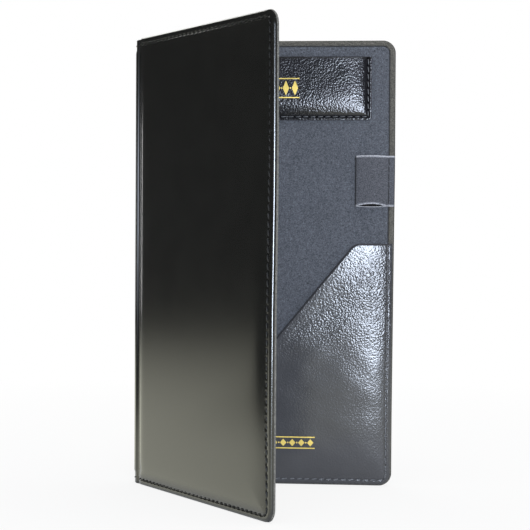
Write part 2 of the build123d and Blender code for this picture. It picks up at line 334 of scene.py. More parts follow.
def shell(
    outline: Outline,
    insets: Sequence[float],
    roll: float,
    face: Height,
    back: Height,
    fine_from: float = 0.0,
    arc_steps: int = 8,
    bend: Array | None = None,
) -> Surface:
    """Close a sheet or pad: its face, its back and a rolled edge between them.

    The middle is a Coons patch inside the last inset. Rings lead from it to the edge, where half an ellipse joins
    face and back: inset = roll (1 - sin a), height = mean + half difference times cos a, with a from 0 to 180
    degrees.

    Args:
        outline: Outline of the piece.
        insets: Insets of the rings, rising, each above roll.
        roll: Depth of the rolled edge, mm.
        face: Height of the face over (u, v).
        back: Height of the back over (u, v).
        fine_from: Rings nearer to the edge than this have two points per cell.
        arc_steps: Faces round the rolled edge.
        bend: (n, 2) shares of the roll's depth and height that take the half ellipse's place.

    Returns:
        The closed surface, in cover coordinates.
    """
    blocks, loops, faces, count = [], [], [], 0
    nu, nv = outline.cells
    grid = outline.fill(outline.ring(insets[-1]))
    ids = np.arange((nu + 1) * (nv + 1)).reshape(nu + 1, nv + 1)
    rim = np.concatenate([ids[:-1, 0], ids[-1, :-1], ids[:0:-1, -1], ids[0, :0:-1]])
    quads = np.stack([ids[:-1, :-1], ids[1:, :-1], ids[1:, 1:], ids[:-1, 1:]], -1).reshape(-1, 4)

    def add(flat: Array, height: Array) -> Array:
        """Store points and give their indices."""
        nonlocal count
        blocks.append(np.concatenate([flat, height[:, None]], 1))
        count += len(flat)
        return np.arange(count - len(flat), count)

    flat = grid.reshape(-1, 2)
    face_ids = add(flat, face(flat[:, 0], flat[:, 1]))
    loops.append(face_ids[rim])
    for inset in reversed(insets[:-1]):
        ring = outline.ring(inset, 2 if inset < fine_from else 1)
        loops.append(add(ring, face(ring[:, 0], ring[:, 1])))
    split = 2 if roll < fine_from else 1
    start = outline.ring(roll, split)
    top, low = face(start[:, 0], start[:, 1]), back(start[:, 0], start[:, 1])
    if bend is None:
        angle = np.linspace(0.0, math.pi, arc_steps + 1)
        bend = np.stack([1.0 - np.sin(angle), (1.0 + np.cos(angle)) / 2], 1)
    for depth, share in bend:
        ring = outline.ring(roll * depth, split)
        loops.append(add(ring, low + (top - low) * share))
    for inset in insets[:-1]:
        ring = outline.ring(inset, 2 if inset < fine_from else 1)
        loops.append(add(ring, back(ring[:, 0], ring[:, 1])))
    back_ids = add(flat, back(flat[:, 0], flat[:, 1]))
    loops.append(back_ids[rim])
    faces.append(face_ids[quads])
    faces.append(back_ids[quads][:, ::-1])
    for one, two in zip(loops, loops[1:]):
        faces.append(bridge(one, two)[:, ::-1] if len(one) <= len(two) else bridge(two, one))
    points = np.concatenate(blocks)
    return Surface(points, faces, points[:, :2].copy())


def strip(
    middle: Array, normal: Array, half: Array, levels: Array, swell: Array | float = 0.0, roll_steps: int = 3
) -> Surface:
    """Carry a thin upright section along a path in plan.

    The section runs up the outer side, over a half-round edge, down the inner side and round again. A side's
    point = path point plus or minus half the thickness along the normal, the outer side with its swell added.

    Args:
        middle: (n, 2) path in plan, mm.
        normal: (n, 2) unit normals towards the outer side.
        half: (n,) half thickness, mm.
        levels: (m,) or (n, m) heights between the rolled edges, mm.
        swell: (n, m) rise of the outer side, mm.
        roll_steps: Points round each half-round edge.

    Returns:
        The closed surface; its sheet coordinates are the run along the path and the height.
    """
    count = len(middle)
    levels = np.broadcast_to(levels, (count, levels.shape[-1]))
    swell = np.broadcast_to(swell, levels.shape)
    angles = np.linspace(0.0, math.pi, roll_steps + 2)[1:-1]
    across = np.concatenate(
        [
            half[:, None] + swell,
            half[:, None] * np.cos(angles) + swell[:, -1:] * (1 + np.cos(angles)) / 2,
            -np.repeat(half[:, None], levels.shape[1], 1),
            -half[:, None] * np.cos(angles) + swell[:, :1] * (1 - np.cos(angles)) / 2,
        ],
        1,
    )
    edge = half.mean() * np.sin(angles)
    height = np.concatenate([levels, levels[:, -1:] + edge, levels[:, ::-1], levels[:, :1] - edge], 1)
    plan = middle[:, None] + across[..., None] * normal[:, None]
    points = np.concatenate([plan, height[..., None]], -1)
    size = height.shape[1]
    ids = np.arange(count * size).reshape(count, size)
    faces = [bridge(ids[i], ids[i + 1]) for i in range(count - 1)]
    n = levels.shape[1]
    pair = np.arange(n - 1)
    inner = n + roll_steps + (n - 1) - pair
    cap = np.stack([pair, pair + 1, inner - 1, inner], 1)
    over = np.arange(n - 1, n + roll_steps + 1)
    under = np.r_[np.arange(n + roll_steps + n - 1, size), 0]
    for row, turn in ((ids[0], 1), (ids[-1], -1)):
        faces.append(row[cap][:, ::turn])
        faces.append(row[over][None, ::turn])
        faces.append(row[under][None, ::turn])
    run = run_length(middle)[:, None]
    sheet = np.stack([np.broadcast_to(run, (count, size)), points[..., 2] + across * 0.5], -1)
    return Surface(points.reshape(-1, 3), faces, sheet.reshape(-1, 2))


def signed_volume(points: Array, faces: list[Array]) -> float:
    """Six times the volume that the faces enclose: the sum of triple products over their fans."""
    total = 0.0
    for block in faces:
        for k in range(1, block.shape[1] - 1):
            a, b, c = points[block[:, 0]], points[block[:, k]], points[block[:, k + 1]]
            total += float((a * np.cross(b, c)).sum())
    return total


def make_piece(
    name: str,
    surface: Surface,
    place: Place,
    finish: Material,
    slot: Slot,
    sharp: float = 50.0,
    tints: dict[str, Array] | None = None,
) -> bpy.types.Object:
    """Put a surface into a mesh object at the origin, faces outwards, with its sheet coordinates as UV map.

    Args:
        name: Name of the piece.
        surface: Its closed surface.
        place: Map from the surface's coordinates to the row frame.
        finish: Its material.
        slot: The record's slot of the piece; not used.
        sharp: Edges that turn by more than this, in degrees, stay sharp.
        tints: Point attributes by name.

    Returns:
        The new object.
    """
    points = place(surface.points)
    faces = surface.faces
    if signed_volume(points - points.mean(0), faces) < 0:
        faces = [block[:, ::-1] for block in faces]
    corner = np.concatenate([block.ravel() for block in faces]).astype(np.int32)
    sizes = np.concatenate([np.full(len(block), block.shape[1]) for block in faces])
    mesh = bpy.data.meshes.new(name)
    mesh.vertices.add(len(points))
    mesh.vertices.foreach_set("co", points.astype(np.float32).ravel())
    mesh.loops.add(len(corner))
    mesh.loops.foreach_set("vertex_index", corner)
    mesh.polygons.add(len(sizes))
    mesh.polygons.foreach_set("loop_start", np.r_[0, np.cumsum(sizes)[:-1]].astype(np.int32))
    mesh.polygons.foreach_set("use_smooth", np.ones(len(sizes), bool))
    layer = mesh.uv_layers.new(name="sheet")
    layer.data.foreach_set("uv", (surface.sheet[corner] * MM).astype(np.float32).ravel())
    for key, values in (tints or {}).items():
        attribute = mesh.attributes.new(key, "FLOAT", "POINT")
        attribute.data.foreach_set("value", values.astype(np.float32))
    mesh.update(calc_edges=True)
    mesh.validate()
    mesh.set_sharp_from_angle(angle=math.radians(sharp))
    mesh.materials.append(finish)
    piece = bpy.data.objects.new(name, mesh)
    bpy.context.scene.collection.objects.link(piece)
    LOG.info("%s: %d faces", name, len(sizes))
    return piece


# ---- Simulated swelling ----------------------------------------------------
SWELLING_TOP = 1.2


@dataclass(frozen=True)
class Swelling:
    """The rise of a sewn-down panel, blown up by the cloth solver and kept on a grid of shares of its sides.

    The panel's left side leans from (left_low, low) to (left_high, high); its right side is upright.
    """

    left_low: float
    left_high: float
    right: float
    low: float
    high: float
    cells: tuple[int, int]
    pinned_left: bool
    pinned_top: bool
    rise: Array = field(default_factory=lambda: np.zeros((1, 1)))

    def simulated(self, pressure: float = 4.0, frames: int = 20) -> "Swelling":
        """Blow the flat sheet up between its pinned sides.

        Args:
            pressure: Pressure behind the sheet.
            frames: Frames that the solver runs.

        Returns: The same panel with its rise, scaled to a peak of one.
        """
        nu, nv = self.cells
        s, t = np.meshgrid(np.linspace(0, 1, nu + 1), np.linspace(0, 1, nv + 1), indexing="ij")
        left = self.left_low + (self.left_high - self.left_low) * t
        flat = np.stack([left + (self.right - left) * s, self.low + (self.high - self.low) * t], -1)
        pins = (s == 1) | (t == 0) | (self.pinned_left & (s == 0)) | (self.pinned_top & (t == 1))
        rise = self.solve(flat, pins, pressure, frames)
        return replace(self, rise=rise / rise.max())

    def solve(self, flat: Array, pins: Array, pressure: float, frames: int) -> Array:
        """Run the cloth solver on a flat grid.

        Args:
            flat: (n, m, 2) grid in mm.
            pins: Points that stay.
            pressure: Pressure behind the sheet.
            frames: Frames to run.

        Returns:
            (n, m) rise above the flat sheet, never below it.
        """
        n, m = pins.shape
        ids = np.arange(n * m).reshape(n, m)
        quads = np.stack([ids[:-1, :-1], ids[1:, :-1], ids[1:, 1:], ids[:-1, 1:]], -1).reshape(-1, 4)
        points = np.concatenate([flat * MM, np.zeros((n, m, 1))], -1).reshape(-1, 3)
        mesh = bpy.data.meshes.new("swelling")
        mesh.from_pydata(points.tolist(), [], quads.tolist())
        sheet = bpy.data.objects.new("swelling", mesh)
        bpy.context.scene.collection.objects.link(sheet)
        group = sheet.vertex_groups.new(name="pins")
        group.add(np.flatnonzero(pins.ravel()).tolist(), 1.0, "REPLACE")
        cloth = sheet.modifiers.new("cloth", "CLOTH")
        setup = cloth.settings
        setup.vertex_group_mass = group.name
        setup.use_pressure, setup.uniform_pressure_force = True, pressure
        setup.effector_weights.gravity = 0.0
        setup.quality, setup.bending_stiffness = 5, 0.5
        cloth.collision_settings.use_collision = False
        scene = bpy.context.scene
        for frame in range(1, frames + 1):
            scene.frame_set(frame)
        shown = sheet.evaluated_get(bpy.context.evaluated_depsgraph_get()).to_mesh()
        blown = np.zeros(len(points) * 3, np.float32)
        shown.vertices.foreach_get("co", blown)
        scene.frame_set(1)
        bpy.data.objects.remove(sheet)
        bpy.data.meshes.remove(mesh)
        return np.maximum(blown.reshape(n, m, 3)[..., 2], 0.0).astype(float)

    def at(self, u: Array, v: Array) -> Array:
        """Sample the rise with cubic B-splines over the shares s and t of the panel's sides.

        Args:
            u: Cover coordinate, mm.
            v: Cover coordinate, mm.

        Returns:
            The rise, 0 to about 1, at each point.
        """
        t = np.clip((v - self.low) / (self.high - self.low), 0.0, 1.0)
        left = self.left_low + (self.left_high - self.left_low) * t
        s = np.clip((u - left) / (self.right - left), 0.0, 1.0)
        padded = np.pad(self.rise, 1, mode="reflect", reflect_type="odd")
        places, weights = [], []
        for share, cells in zip((s, t), self.cells):
            knot = np.minimum((share * cells).astype(int), cells - 1)
            f = share * cells - knot
            places.append(knot)
            weights.append([(1 - f) ** 3, 3 * f**3 - 6 * f**2 + 4, -3 * f**3 + 3 * f**2 + 3 * f + 1, f**3])
        total = np.zeros_like(s)
        for i in range(4):
            for j in range(4):
                total += weights[0][i] / 6 * (weights[1][j] / 6) * padded[places[0] + i, places[1] + j]
        return total


# ---- Node graphs -----------------------------------------------------------
Value = float | tuple[float, ...] | Socket


class Graph:
    """A material's node tree, with short calls for the nodes that the finishes share."""

    def __init__(self, name: str) -> None:
        """Start an empty tree with a Principled shader on its output."""
        self.material = bpy.data.materials.new(name)
        self.material.use_nodes = True
        self.tree = self.material.node_tree
        self.tree.nodes.clear()
        self.shader = self.tree.nodes.new("ShaderNodeBsdfPrincipled")
        output = self.tree.nodes.new("ShaderNodeOutputMaterial")
        self.tree.links.new(self.shader.outputs["BSDF"], output.inputs["Surface"])

    def feed(self, socket: Socket, value: Value) -> None:
        """Link a socket, or set its value."""
        if isinstance(value, Socket):
            self.tree.links.new(value, socket)
        else:
            socket.default_value = value

    def node(self, kind: str, sockets: dict[str | int, Value], **settings: object) -> bpy.types.Node:
        """Add a node.

        Args:
            kind: Type of the node without its ShaderNode prefix.
            sockets: Values or links of its inputs.
            settings: Its own settings.

        Returns:
            The node.
        """
        node = self.tree.nodes.new("ShaderNode" + kind)
        for key, value in settings.items():
            setattr(node, key, value)
        for key, value in sockets.items():
            self.feed(node.inputs[key], value)
        return node

    def place(self, source: Coordinates) -> Socket:
        """Coordinates in metres, from the object or the sheet."""
        return self.node("TexCoord", {}).outputs[source.value]

    def math(self, operation: str, first: Value, second: Value = 0.0, third: Value = 0.0) -> Socket:
        """One arithmetic step."""
        return self.node("Math", {0: first, 1: second, 2: third}, operation=operation).outputs[0]

    def times(self, first: Value, second: Value) -> Socket:
        """First times second."""
        return self.math("MULTIPLY", first, second)

    def fused(self, first: Value, second: Value, third: Value) -> Socket:
        """First times second, plus third."""
        return self.math("MULTIPLY_ADD", first, second, third)

    def dot(self, at: Value, way: tuple[float, float, float]) -> Socket:
        """Distance of a place along a direction."""
        return self.node("VectorMath", {0: at, 1: way}, operation="DOT_PRODUCT").outputs["Value"]

    def noise(self, at: Value, size: float, detail: float = 2.0, distortion: float = 0.0) -> Socket:
        """Noise of 0 to 1 whose blots are about size millimetres wide."""
        sockets = {"Vector": at, "Scale": 1.0 / (size * MM), "Detail": detail, "Distortion": distortion}
        return self.node("TexNoise", sockets).outputs["Fac"]

    def cells(self, at: Value, size: float, smoothness: float = 0.4) -> Socket:
        """Distance to the nearest of scattered points about size millimetres apart, 0 to about 1."""
        sockets = {"Vector": at, "Scale": 1.0 / (size * MM), "Smoothness": smoothness}
        return self.node("TexVoronoi", sockets, feature="SMOOTH_F1").outputs["Distance"]

    def blend(self, share: Value, first: Value, second: Value) -> Socket:
        """Mix two colours."""
        return self.node("Mix", {0: share, 6: first, 7: second}, data_type="RGBA").outputs[2]

    def span(self, value: Value, low: float, high: float) -> Socket:
        """Stretch low..high to 0..1, clamped."""
        sockets = {"Value": value, "From Min": low, "From Max": high}
        return self.node("MapRange", sockets).outputs["Result"]

    def tint(self, name: str) -> Socket:
        """A point attribute of the piece."""
        return self.node("Attribute", {}, attribute_name=name).outputs["Fac"]

    def bump(self, height: Value) -> Socket:
        """A relief whose height is in millimetres."""
        return self.node("Bump", {"Height": height, "Strength": 1.0, "Distance": MM}).outputs["Normal"]

    def finished(self, **sockets: Value) -> Material:
        """Set the shader's sockets, named with underscores for spaces, and give the material."""
        for key, value in sockets.items():
            self.feed(self.shader.inputs[key.replace("_", " ")], value)
        return self.material


Colour = tuple[float, float, float]


def rgba(colour: Colour, factor: float = 1.0) -> tuple[float, float, float, float]:
    """A colour times a factor, with full alpha."""
    return (colour[0] * factor, colour[1] * factor, colour[2] * factor, 1.0)


@dataclass(frozen=True)
class Leatherette:
    """Coated cloth: pebbled grain, fine creases between, an uneven gloss, smoother in a band whose lighter colour is
    partly painted light.
    """

    name: str
    colour: Colour = (0.010, 0.010, 0.0085)
    gloss: float = 0.2
    grain: float = 0.9
    grain_depth: float = 0.005
    crease: float = 3.5
    crease_depth: float = 0.004
    streak_depth: float = 0.0
    fuzz: float = 0.8
    calm_and_painted_light_colour: Colour = (0.035, 0.033, 0.03)
    coat: float = 0.8
    ior: float = 1.55
    painted_highlight_colour: Colour = (0.3, 0.31, 0.34)
    streak_turn: float = 0.75
    streak_stretch: float = 0.28
    coordinates: Coordinates = Coordinates.OBJECT

    def material(self) -> Material:
        """Build the node tree."""
        g = Graph(self.name)
        at = g.place(self.coordinates)
        calm = g.math("SUBTRACT", 1.0, g.times(g.tint("band"), 0.85))
        pebbles = g.cells(at, self.grain)
        fine = g.noise(at, self.grain * 0.45, 3.0 if self.fuzz > 0.5 else 1.0)
        crease = g.math("ABSOLUTE", g.math("SUBTRACT", g.noise(at, self.crease, 4.0, 0.6), 0.5))
        relief = g.times(pebbles, -self.grain_depth)
        relief = g.fused(fine, self.grain_depth * self.fuzz, relief)
        relief = g.fused(g.span(crease, 0.0, 0.18), self.crease_depth, relief)
        if self.streak_depth:
            turn, stretch = (0.0, self.streak_turn, 0.0), (1.0, 1.0, self.streak_stretch)
            turned = g.node("Mapping", {"Vector": at, "Rotation": turn, "Scale": stretch}).outputs[0]
            streaks = g.noise(turned, self.grain * 0.9)
            relief = g.fused(streaks, self.streak_depth, relief)
        relief = g.times(relief, calm)
        patches = g.noise(at, 14.0, 3.0)
        rough = g.fused(patches, 0.05, self.gloss - 0.03)
        rough = g.fused(pebbles, 0.04, rough)
        colour = g.blend(patches, rgba(self.colour, 0.75), rgba(self.colour, 1.3))
        # The band's lighter colour: the hem's tone along the bill pocket's mouth, and painted light elsewhere (a
        # painted reflection low on the bill pocket, a painted highlight along the card pocket's top fold).
        colour = g.blend(g.times(g.tint("band"), 0.5), colour, rgba(self.calm_and_painted_light_colour))
        # Painted highlight line, laid where the tint asks for it.
        colour = g.blend(g.tint("rub"), colour, rgba(self.painted_highlight_colour))
        return g.finished(
            Base_Color=colour, Roughness=rough, IOR=self.ior, Coat_Weight=self.coat, Coat_Roughness=0.12,
            Normal=g.bump(relief),
        )


@dataclass(frozen=True)
class Suede:
    """Non-woven lining: a felted mottle of short fibres, flattened and warmer where it is turned in and sewn, with
    painted highlights on edges and near-black painted shade where a piece asks for it.
    """

    name: str
    colour: Colour = (0.089, 0.095, 0.110)
    margin: Colour = (0.105, 0.098, 0.083)
    painted_highlight_colour: Colour = (0.42, 0.41, 0.38)
    painted_shade_colour: Colour = (0.004, 0.004, 0.004)
    mottle: float = 1.2
    coordinates: Coordinates = Coordinates.OBJECT

    def material(self) -> Material:
        """Build the node tree."""
        g = Graph(self.name)
        at = g.place(self.coordinates)
        blots = g.span(g.noise(at, self.mottle, 5.0, 0.4), 0.3, 0.7)
        fibres = g.noise(at, 0.55, 4.0, 1.0)
        cloud = g.noise(at, 22.0, 2.0)
        # The band takes the margin colour: on the lining its warmer turned-in margin, on the pen loop a painted
        # highlight on its cut edges.
        colour = g.blend(g.tint("band"), rgba(self.colour), rgba(self.margin))
        # Painted highlight along an edge, where the tint asks for it.
        colour = g.blend(g.tint("rub"), colour, rgba(self.painted_highlight_colour))
        # Painted shade, near black, where the tint asks for it.
        colour = g.blend(g.tint("painted_shade"), colour, rgba(self.painted_shade_colour))
        shade = g.fused(blots, 0.3, 0.7)
        shade = g.fused(g.math("SUBTRACT", fibres, 0.5), 3.2, shade)
        shade = g.fused(cloud, 0.2, shade)
        colour = g.node("VectorMath", {0: colour, 3: shade}, operation="SCALE").outputs[0]
        relief = g.fused(blots, 0.05, g.times(fibres, 0.05))
        return g.finished(
            Base_Color=colour, Roughness=0.95, Sheen_Weight=0.1, Sheen_Roughness=0.5, Normal=g.bump(relief)
        )


@dataclass(frozen=True)
class Yarn:
    """Bonded sewing thread: plies that wind round each stitch and a waxy shine."""

    name: str
    colour: Colour = (0.012, 0.012, 0.012)
    gloss: float = 0.38

    def material(self) -> Material:
        """Build the node tree."""
        g = Graph(self.name)
        plies = {"Vector": g.place(Coordinates.UV), "Scale": 900.0, "Distortion": 1.0}
        wave = g.node("TexWave", plies, bands_direction="DIAGONAL").outputs["Fac"]
        fuzz = g.noise(g.place(Coordinates.OBJECT), 0.2, 2.0)
        colour = g.blend(wave, rgba(self.colour, 0.6), rgba(self.colour, 1.6))
        relief = g.fused(fuzz, 0.02, g.times(wave, 0.05))
        return g.finished(Base_Color=colour, Roughness=self.gloss, Normal=g.bump(relief))


@dataclass(frozen=True)
class Foil:
    """Hot-stamped gold foil: bright metal, brushed and a little broken by the grain beneath it."""

    name: str
    colour: Colour = (0.7, 0.52, 0.14)

    def material(self) -> Material:
        """Build the node tree."""
        g = Graph(self.name)
        at = g.place(Coordinates.OBJECT)
        grain = g.noise(at, 0.5, 4.0)
        colour = g.blend(grain, rgba(self.colour, 0.85), rgba(self.colour))
        rough = g.fused(grain, 0.25, 0.28)
        relief = g.bump(g.times(grain, 0.01))
        return g.finished(Base_Color=colour, Metallic=1.0, Roughness=rough, Normal=relief)


@dataclass(frozen=True)
class Core:
    """Greyboard or foam inside the covers: pressed fibres or open cells."""

    name: str
    colour: Colour
    grain: float
    depth: float

    def material(self) -> Material:
        """Build the node tree."""
        g = Graph(self.name)
        at = g.place(Coordinates.OBJECT)
        cells, fibres = g.cells(at, self.grain), g.noise(at, self.grain * 3.0, 4.0, 1.0)
        colour = g.blend(fibres, rgba(self.colour, 0.8), rgba(self.colour, 1.15))
        relief = g.times(cells, self.depth)
        return g.finished(Base_Color=colour, Roughness=0.9, Normal=g.bump(relief))


@dataclass
class Finishes:
    """The finishes of the presenter, each made once."""

    cover: Material
    spine: Material
    card: Material
    pocket: Material
    lining: Material
    sheet_lining: Material
    loop: Material
    yarn: Material
    painted_highlight_yarn: Material
    foil: Material
    board: Material
    foam: Material

    @staticmethod
    def made() -> "Finishes":
        """Build every material."""
        loose_cloth = {"crease": 1.9, "streak_depth": 0.03, "coat": 0.0}
        recipes = {
            "cover": Leatherette("cover_leatherette"),
            "spine": Leatherette("spine_leatherette", coordinates=Coordinates.UV),
            "card": Leatherette(
                "card_pocket_leatherette", colour=(0.012, 0.012, 0.014), gloss=0.17, grain=1.0, grain_depth=0.095,
                fuzz=0.3, **loose_cloth,
            ),
            # Its lighter calm colour is a painted reflection over the pocket's lower part.
            "pocket": Leatherette(
                "bill_pocket_leatherette", colour=(0.045, 0.045, 0.05), gloss=0.15, grain=1.05, grain_depth=0.135,
                fuzz=0.25, calm_and_painted_light_colour=(0.08, 0.08, 0.083), **loose_cloth,
            ),
            "lining": Suede("grey_suede"),
            "sheet_lining": Suede("spine_suede", coordinates=Coordinates.UV),
            # The loop's margin colour is a painted highlight on the strap's cut edges.
            "loop": Suede(
                "loop_suede", colour=(0.087, 0.089, 0.101), margin=(0.8, 0.8, 0.85), coordinates=Coordinates.UV
            ),
            "yarn": Yarn("black_yarn"),
            # A grey copy of the black thread, lighter so that the pocket stitches show as lit dashes: a painted
            # highlight.
            "painted_highlight_yarn": Yarn("painted_highlight_yarn", colour=(0.14, 0.142, 0.15), gloss=0.3),
            "foil": Foil("stamped_foil"),
            "board": Core("pressed_greyboard", (0.3, 0.28, 0.25), 0.7, 0.05),
            "foam": Core("open_cell_foam", (0.5, 0.5, 0.48), 0.9, 0.2),
        }
        return Finishes(**{use: recipe.material() for use, recipe in recipes.items()})


# ---- Stitches --------------------------------------------------------------
@dataclass(frozen=True)
class Stitching:
    """A row of lock stitches of heavy thread."""

    pitch: float = 4.3
    fill: float = 0.8
    radius: float = 0.36
    slant: float = 11.0
    sink: float = 0.45
    proud: float = 0.2
    rings: tuple[float, ...] = (-1.0, -0.88, -0.55, 0.0, 0.55, 0.88, 1.0)
    sides: int = 6

    def count(self, length: float) -> int:
        """How many whole stitches a run of this length takes."""
        return max(1, round(length / self.pitch))

    def surface(self, path: Array, normals: Array) -> Surface:
        """Lay stitches along a path.

        Each is a bead carried along x from -1 to 1: radius times (1 - x to the 8th) to the half, its middle line
        sunk by sink times x to the 4th, so that both ends dive into their holes. The stitch is turned by the slant
        about the surface's normal.

        Args:
            path: (n, 3) points of the run, in the row frame, metres.
            normals: (n, 3) outward unit normals of the sewn surface.

        Returns:
            All the stitches as one surface, in metres.
        """
        run = run_length(path) / MM
        count = self.count(run[-1])
        pitch = run[-1] / count
        at = (np.arange(count) + 0.5) * pitch

        def along(values: Array, where: Array) -> Array:
            """Values of the path at given runs."""
            return np.stack([np.interp(where, run, values[:, k]) for k in range(3)], 1)

        half = pitch * self.fill / 2
        ahead = unit(along(path, at + half) - along(path, at - half))
        up = unit(along(normals, at))
        up = unit(up - (up * ahead).sum(1, keepdims=True) * ahead)
        across = np.cross(up, ahead)
        turn = math.radians(self.slant)
        ahead, across = (
            ahead * math.cos(turn) + across * math.sin(turn),
            across * math.cos(turn) - ahead * math.sin(turn),
        )
        x, size = np.array(self.rings)[:, None], len(self.rings) * self.sides
        round_ = np.arange(self.sides) / self.sides * math.tau
        radius = self.radius * np.sqrt(np.maximum(1 - x**8, 0.04))
        bead = [x * half + 0 * round_, radius * np.cos(round_), radius * np.sin(round_) - self.sink * x**4]
        template = np.stack(bead, -1).reshape(-1, 3)
        points = along(path, at)[:, None] + template @ np.stack([ahead, across, up], 1) * MM
        ids = np.arange(size).reshape(len(self.rings), self.sides)
        quads = np.concatenate([bridge(one, two) for one, two in zip(ids, ids[1:])])
        start = (np.arange(count) * size)[:, None, None]
        faces = [(start + block).reshape(-1, block.shape[1]) for block in (quads, ids[:1, ::-1], ids[-1:])]
        sheet = np.stack([template[:, 0], np.tile(round_, len(self.rings)) * self.radius], 1)
        return Surface(points.reshape(-1, 3), faces, np.tile(sheet, (count, 1)))


OUTER_STITCH = Stitching()
LINING_STITCH = Stitching(fill=0.88, radius=0.25, slant=4.0, sink=0.3, proud=0.05)
POCKET_STITCH = Stitching(fill=0.78, radius=0.34, slant=8.0, proud=0.15)
GROOVE_REACH = 7.0
BATCH = 4000


def rounded_run(corners: Sequence[Point], radius: float, step: float = 0.5) -> Array:
    """Sample a run with rounded corners.

    Straight parts are cut radius before each corner and joined there by a quadratic curve whose middle point is
    the corner.

    Args:
        corners: Points of the run, mm.
        radius: Distance of the curve's ends from a corner.
        step: Distance between samples.

    Returns:
        (n, 2) samples.
    """
    points = np.array(corners, float)
    out = []
    begin = points[0]
    for k in range(1, len(points)):
        last = k == len(points) - 1
        way = unit(points[k] - points[k - 1])
        end = points[k] if last else points[k] - way * radius
        count = max(2, int(np.linalg.norm(end - begin) / step))
        out.append(begin + (end - begin) * np.linspace(0, 1, count, endpoint=last)[:, None])
        if not last:
            leave = points[k] + unit(points[k + 1] - points[k]) * radius
            t = np.linspace(0, 1, 12, endpoint=False)[:, None]
            out.append((1 - t) ** 2 * end + 2 * t * (1 - t) * points[k] + t**2 * leave)
            begin = leave
    return np.concatenate(out)


def groove(u: Array, v: Array, run: Array, edge: Array, width: float, even: float, pit: float) -> Array:
    """Depth of the groove that a row of outer stitches presses in: a bell across the run, deeper at each hole.

    Args:
        u: Points, mm.
        v: Points, mm.
        run: (n, 2) samples of the run.
        edge: Distance of each point to the edge; only points within GROOVE_REACH of it are worked out.
        width: Width of the bell, mm.
        even: Depth between the holes, mm.
        pit: What a hole adds, mm.

    Returns:
        The depth at each point.
    """
    length = run_length(run)
    count = OUTER_STITCH.count(length[-1])
    depth = np.zeros(u.shape)
    near = np.flatnonzero(edge < GROOVE_REACH)
    for part in np.array_split(near, max(1, len(near) // BATCH)):
        gap = np.hypot(u[part, None] - run[None, :, 0], v[part, None] - run[None, :, 1])
        nearest = gap.argmin(1)
        hole = (0.5 + 0.5 * np.cos(math.tau * length[nearest] / length[-1] * count)) ** 2
        depth[part] = bell(gap[np.arange(len(part)), nearest], 0.0, width) * (even + pit * hole)
    return depth


def attach(piece: bpy.types.Object, body: str, *cad_nodes: str) -> None:
    """Let a piece ride on a body, in the place of nodes of the CAD."""
    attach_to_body(piece, body)
    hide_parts(*cad_nodes)


def sew(
    name: str, cad_node: str, frame: CoverFrame, run: Array, height: Height, finish: Material,
    stitching: Stitching, outward: float = -1.0,
) -> None:
    """Make one row of stitches on a surface of a cover.

    Args:
        name: Name of the piece.
        cad_node: The CAD's thread that it replaces.
        frame: Frame of the cover.
        run: (n, 2) samples of the seam.
        height: Height of the sewn surface.
        finish: The thread's material.
        stitching: Size and slant of the stitches.
        outward: 1 on the outer face, -1 on the lining's side.
    """
    level = height(run[:, 0], run[:, 1]) + outward * stitching.proud
    path = frame.to_row(np.concatenate([run, level[:, None]], 1))
    surface = stitching.surface(path, np.broadcast_to(frame.outward * outward, path.shape))
    attach(make_piece(name, surface, np.asarray, finish, Slot.THREAD, sharp=180.0), frame.body, cad_node)


# ---- Cover -----------------------------------------------------------------
BEND_START = [(1.0, 1.0), (0.803, 0.987), (0.62, 0.95), (0.463, 0.89)]
BEND_END = [(0.0, 0.156), (0.042, 0.078), (0.158, 0.021), (0.316, 0.0), (1.0, 0.0)]
EDGE_BEND = np.array(
    BEND_START + [(0.378, 0.84), (0.332, 0.804), (0.061, 0.557), (0.017, 0.502), (0.0, 0.437)] + BEND_END
)
FACET_BEND = np.array(
    BEND_START
    + [(0.38, 0.83), (0.2975, 0.75), (0.1975, 0.647), (0.185, 0.629), (0.125, 0.541), (0.1125, 0.523)]
    + [(0.085, 0.455), (0.045, 0.35), (0.015, 0.26), (0.0, 0.19)]
    + BEND_END
)


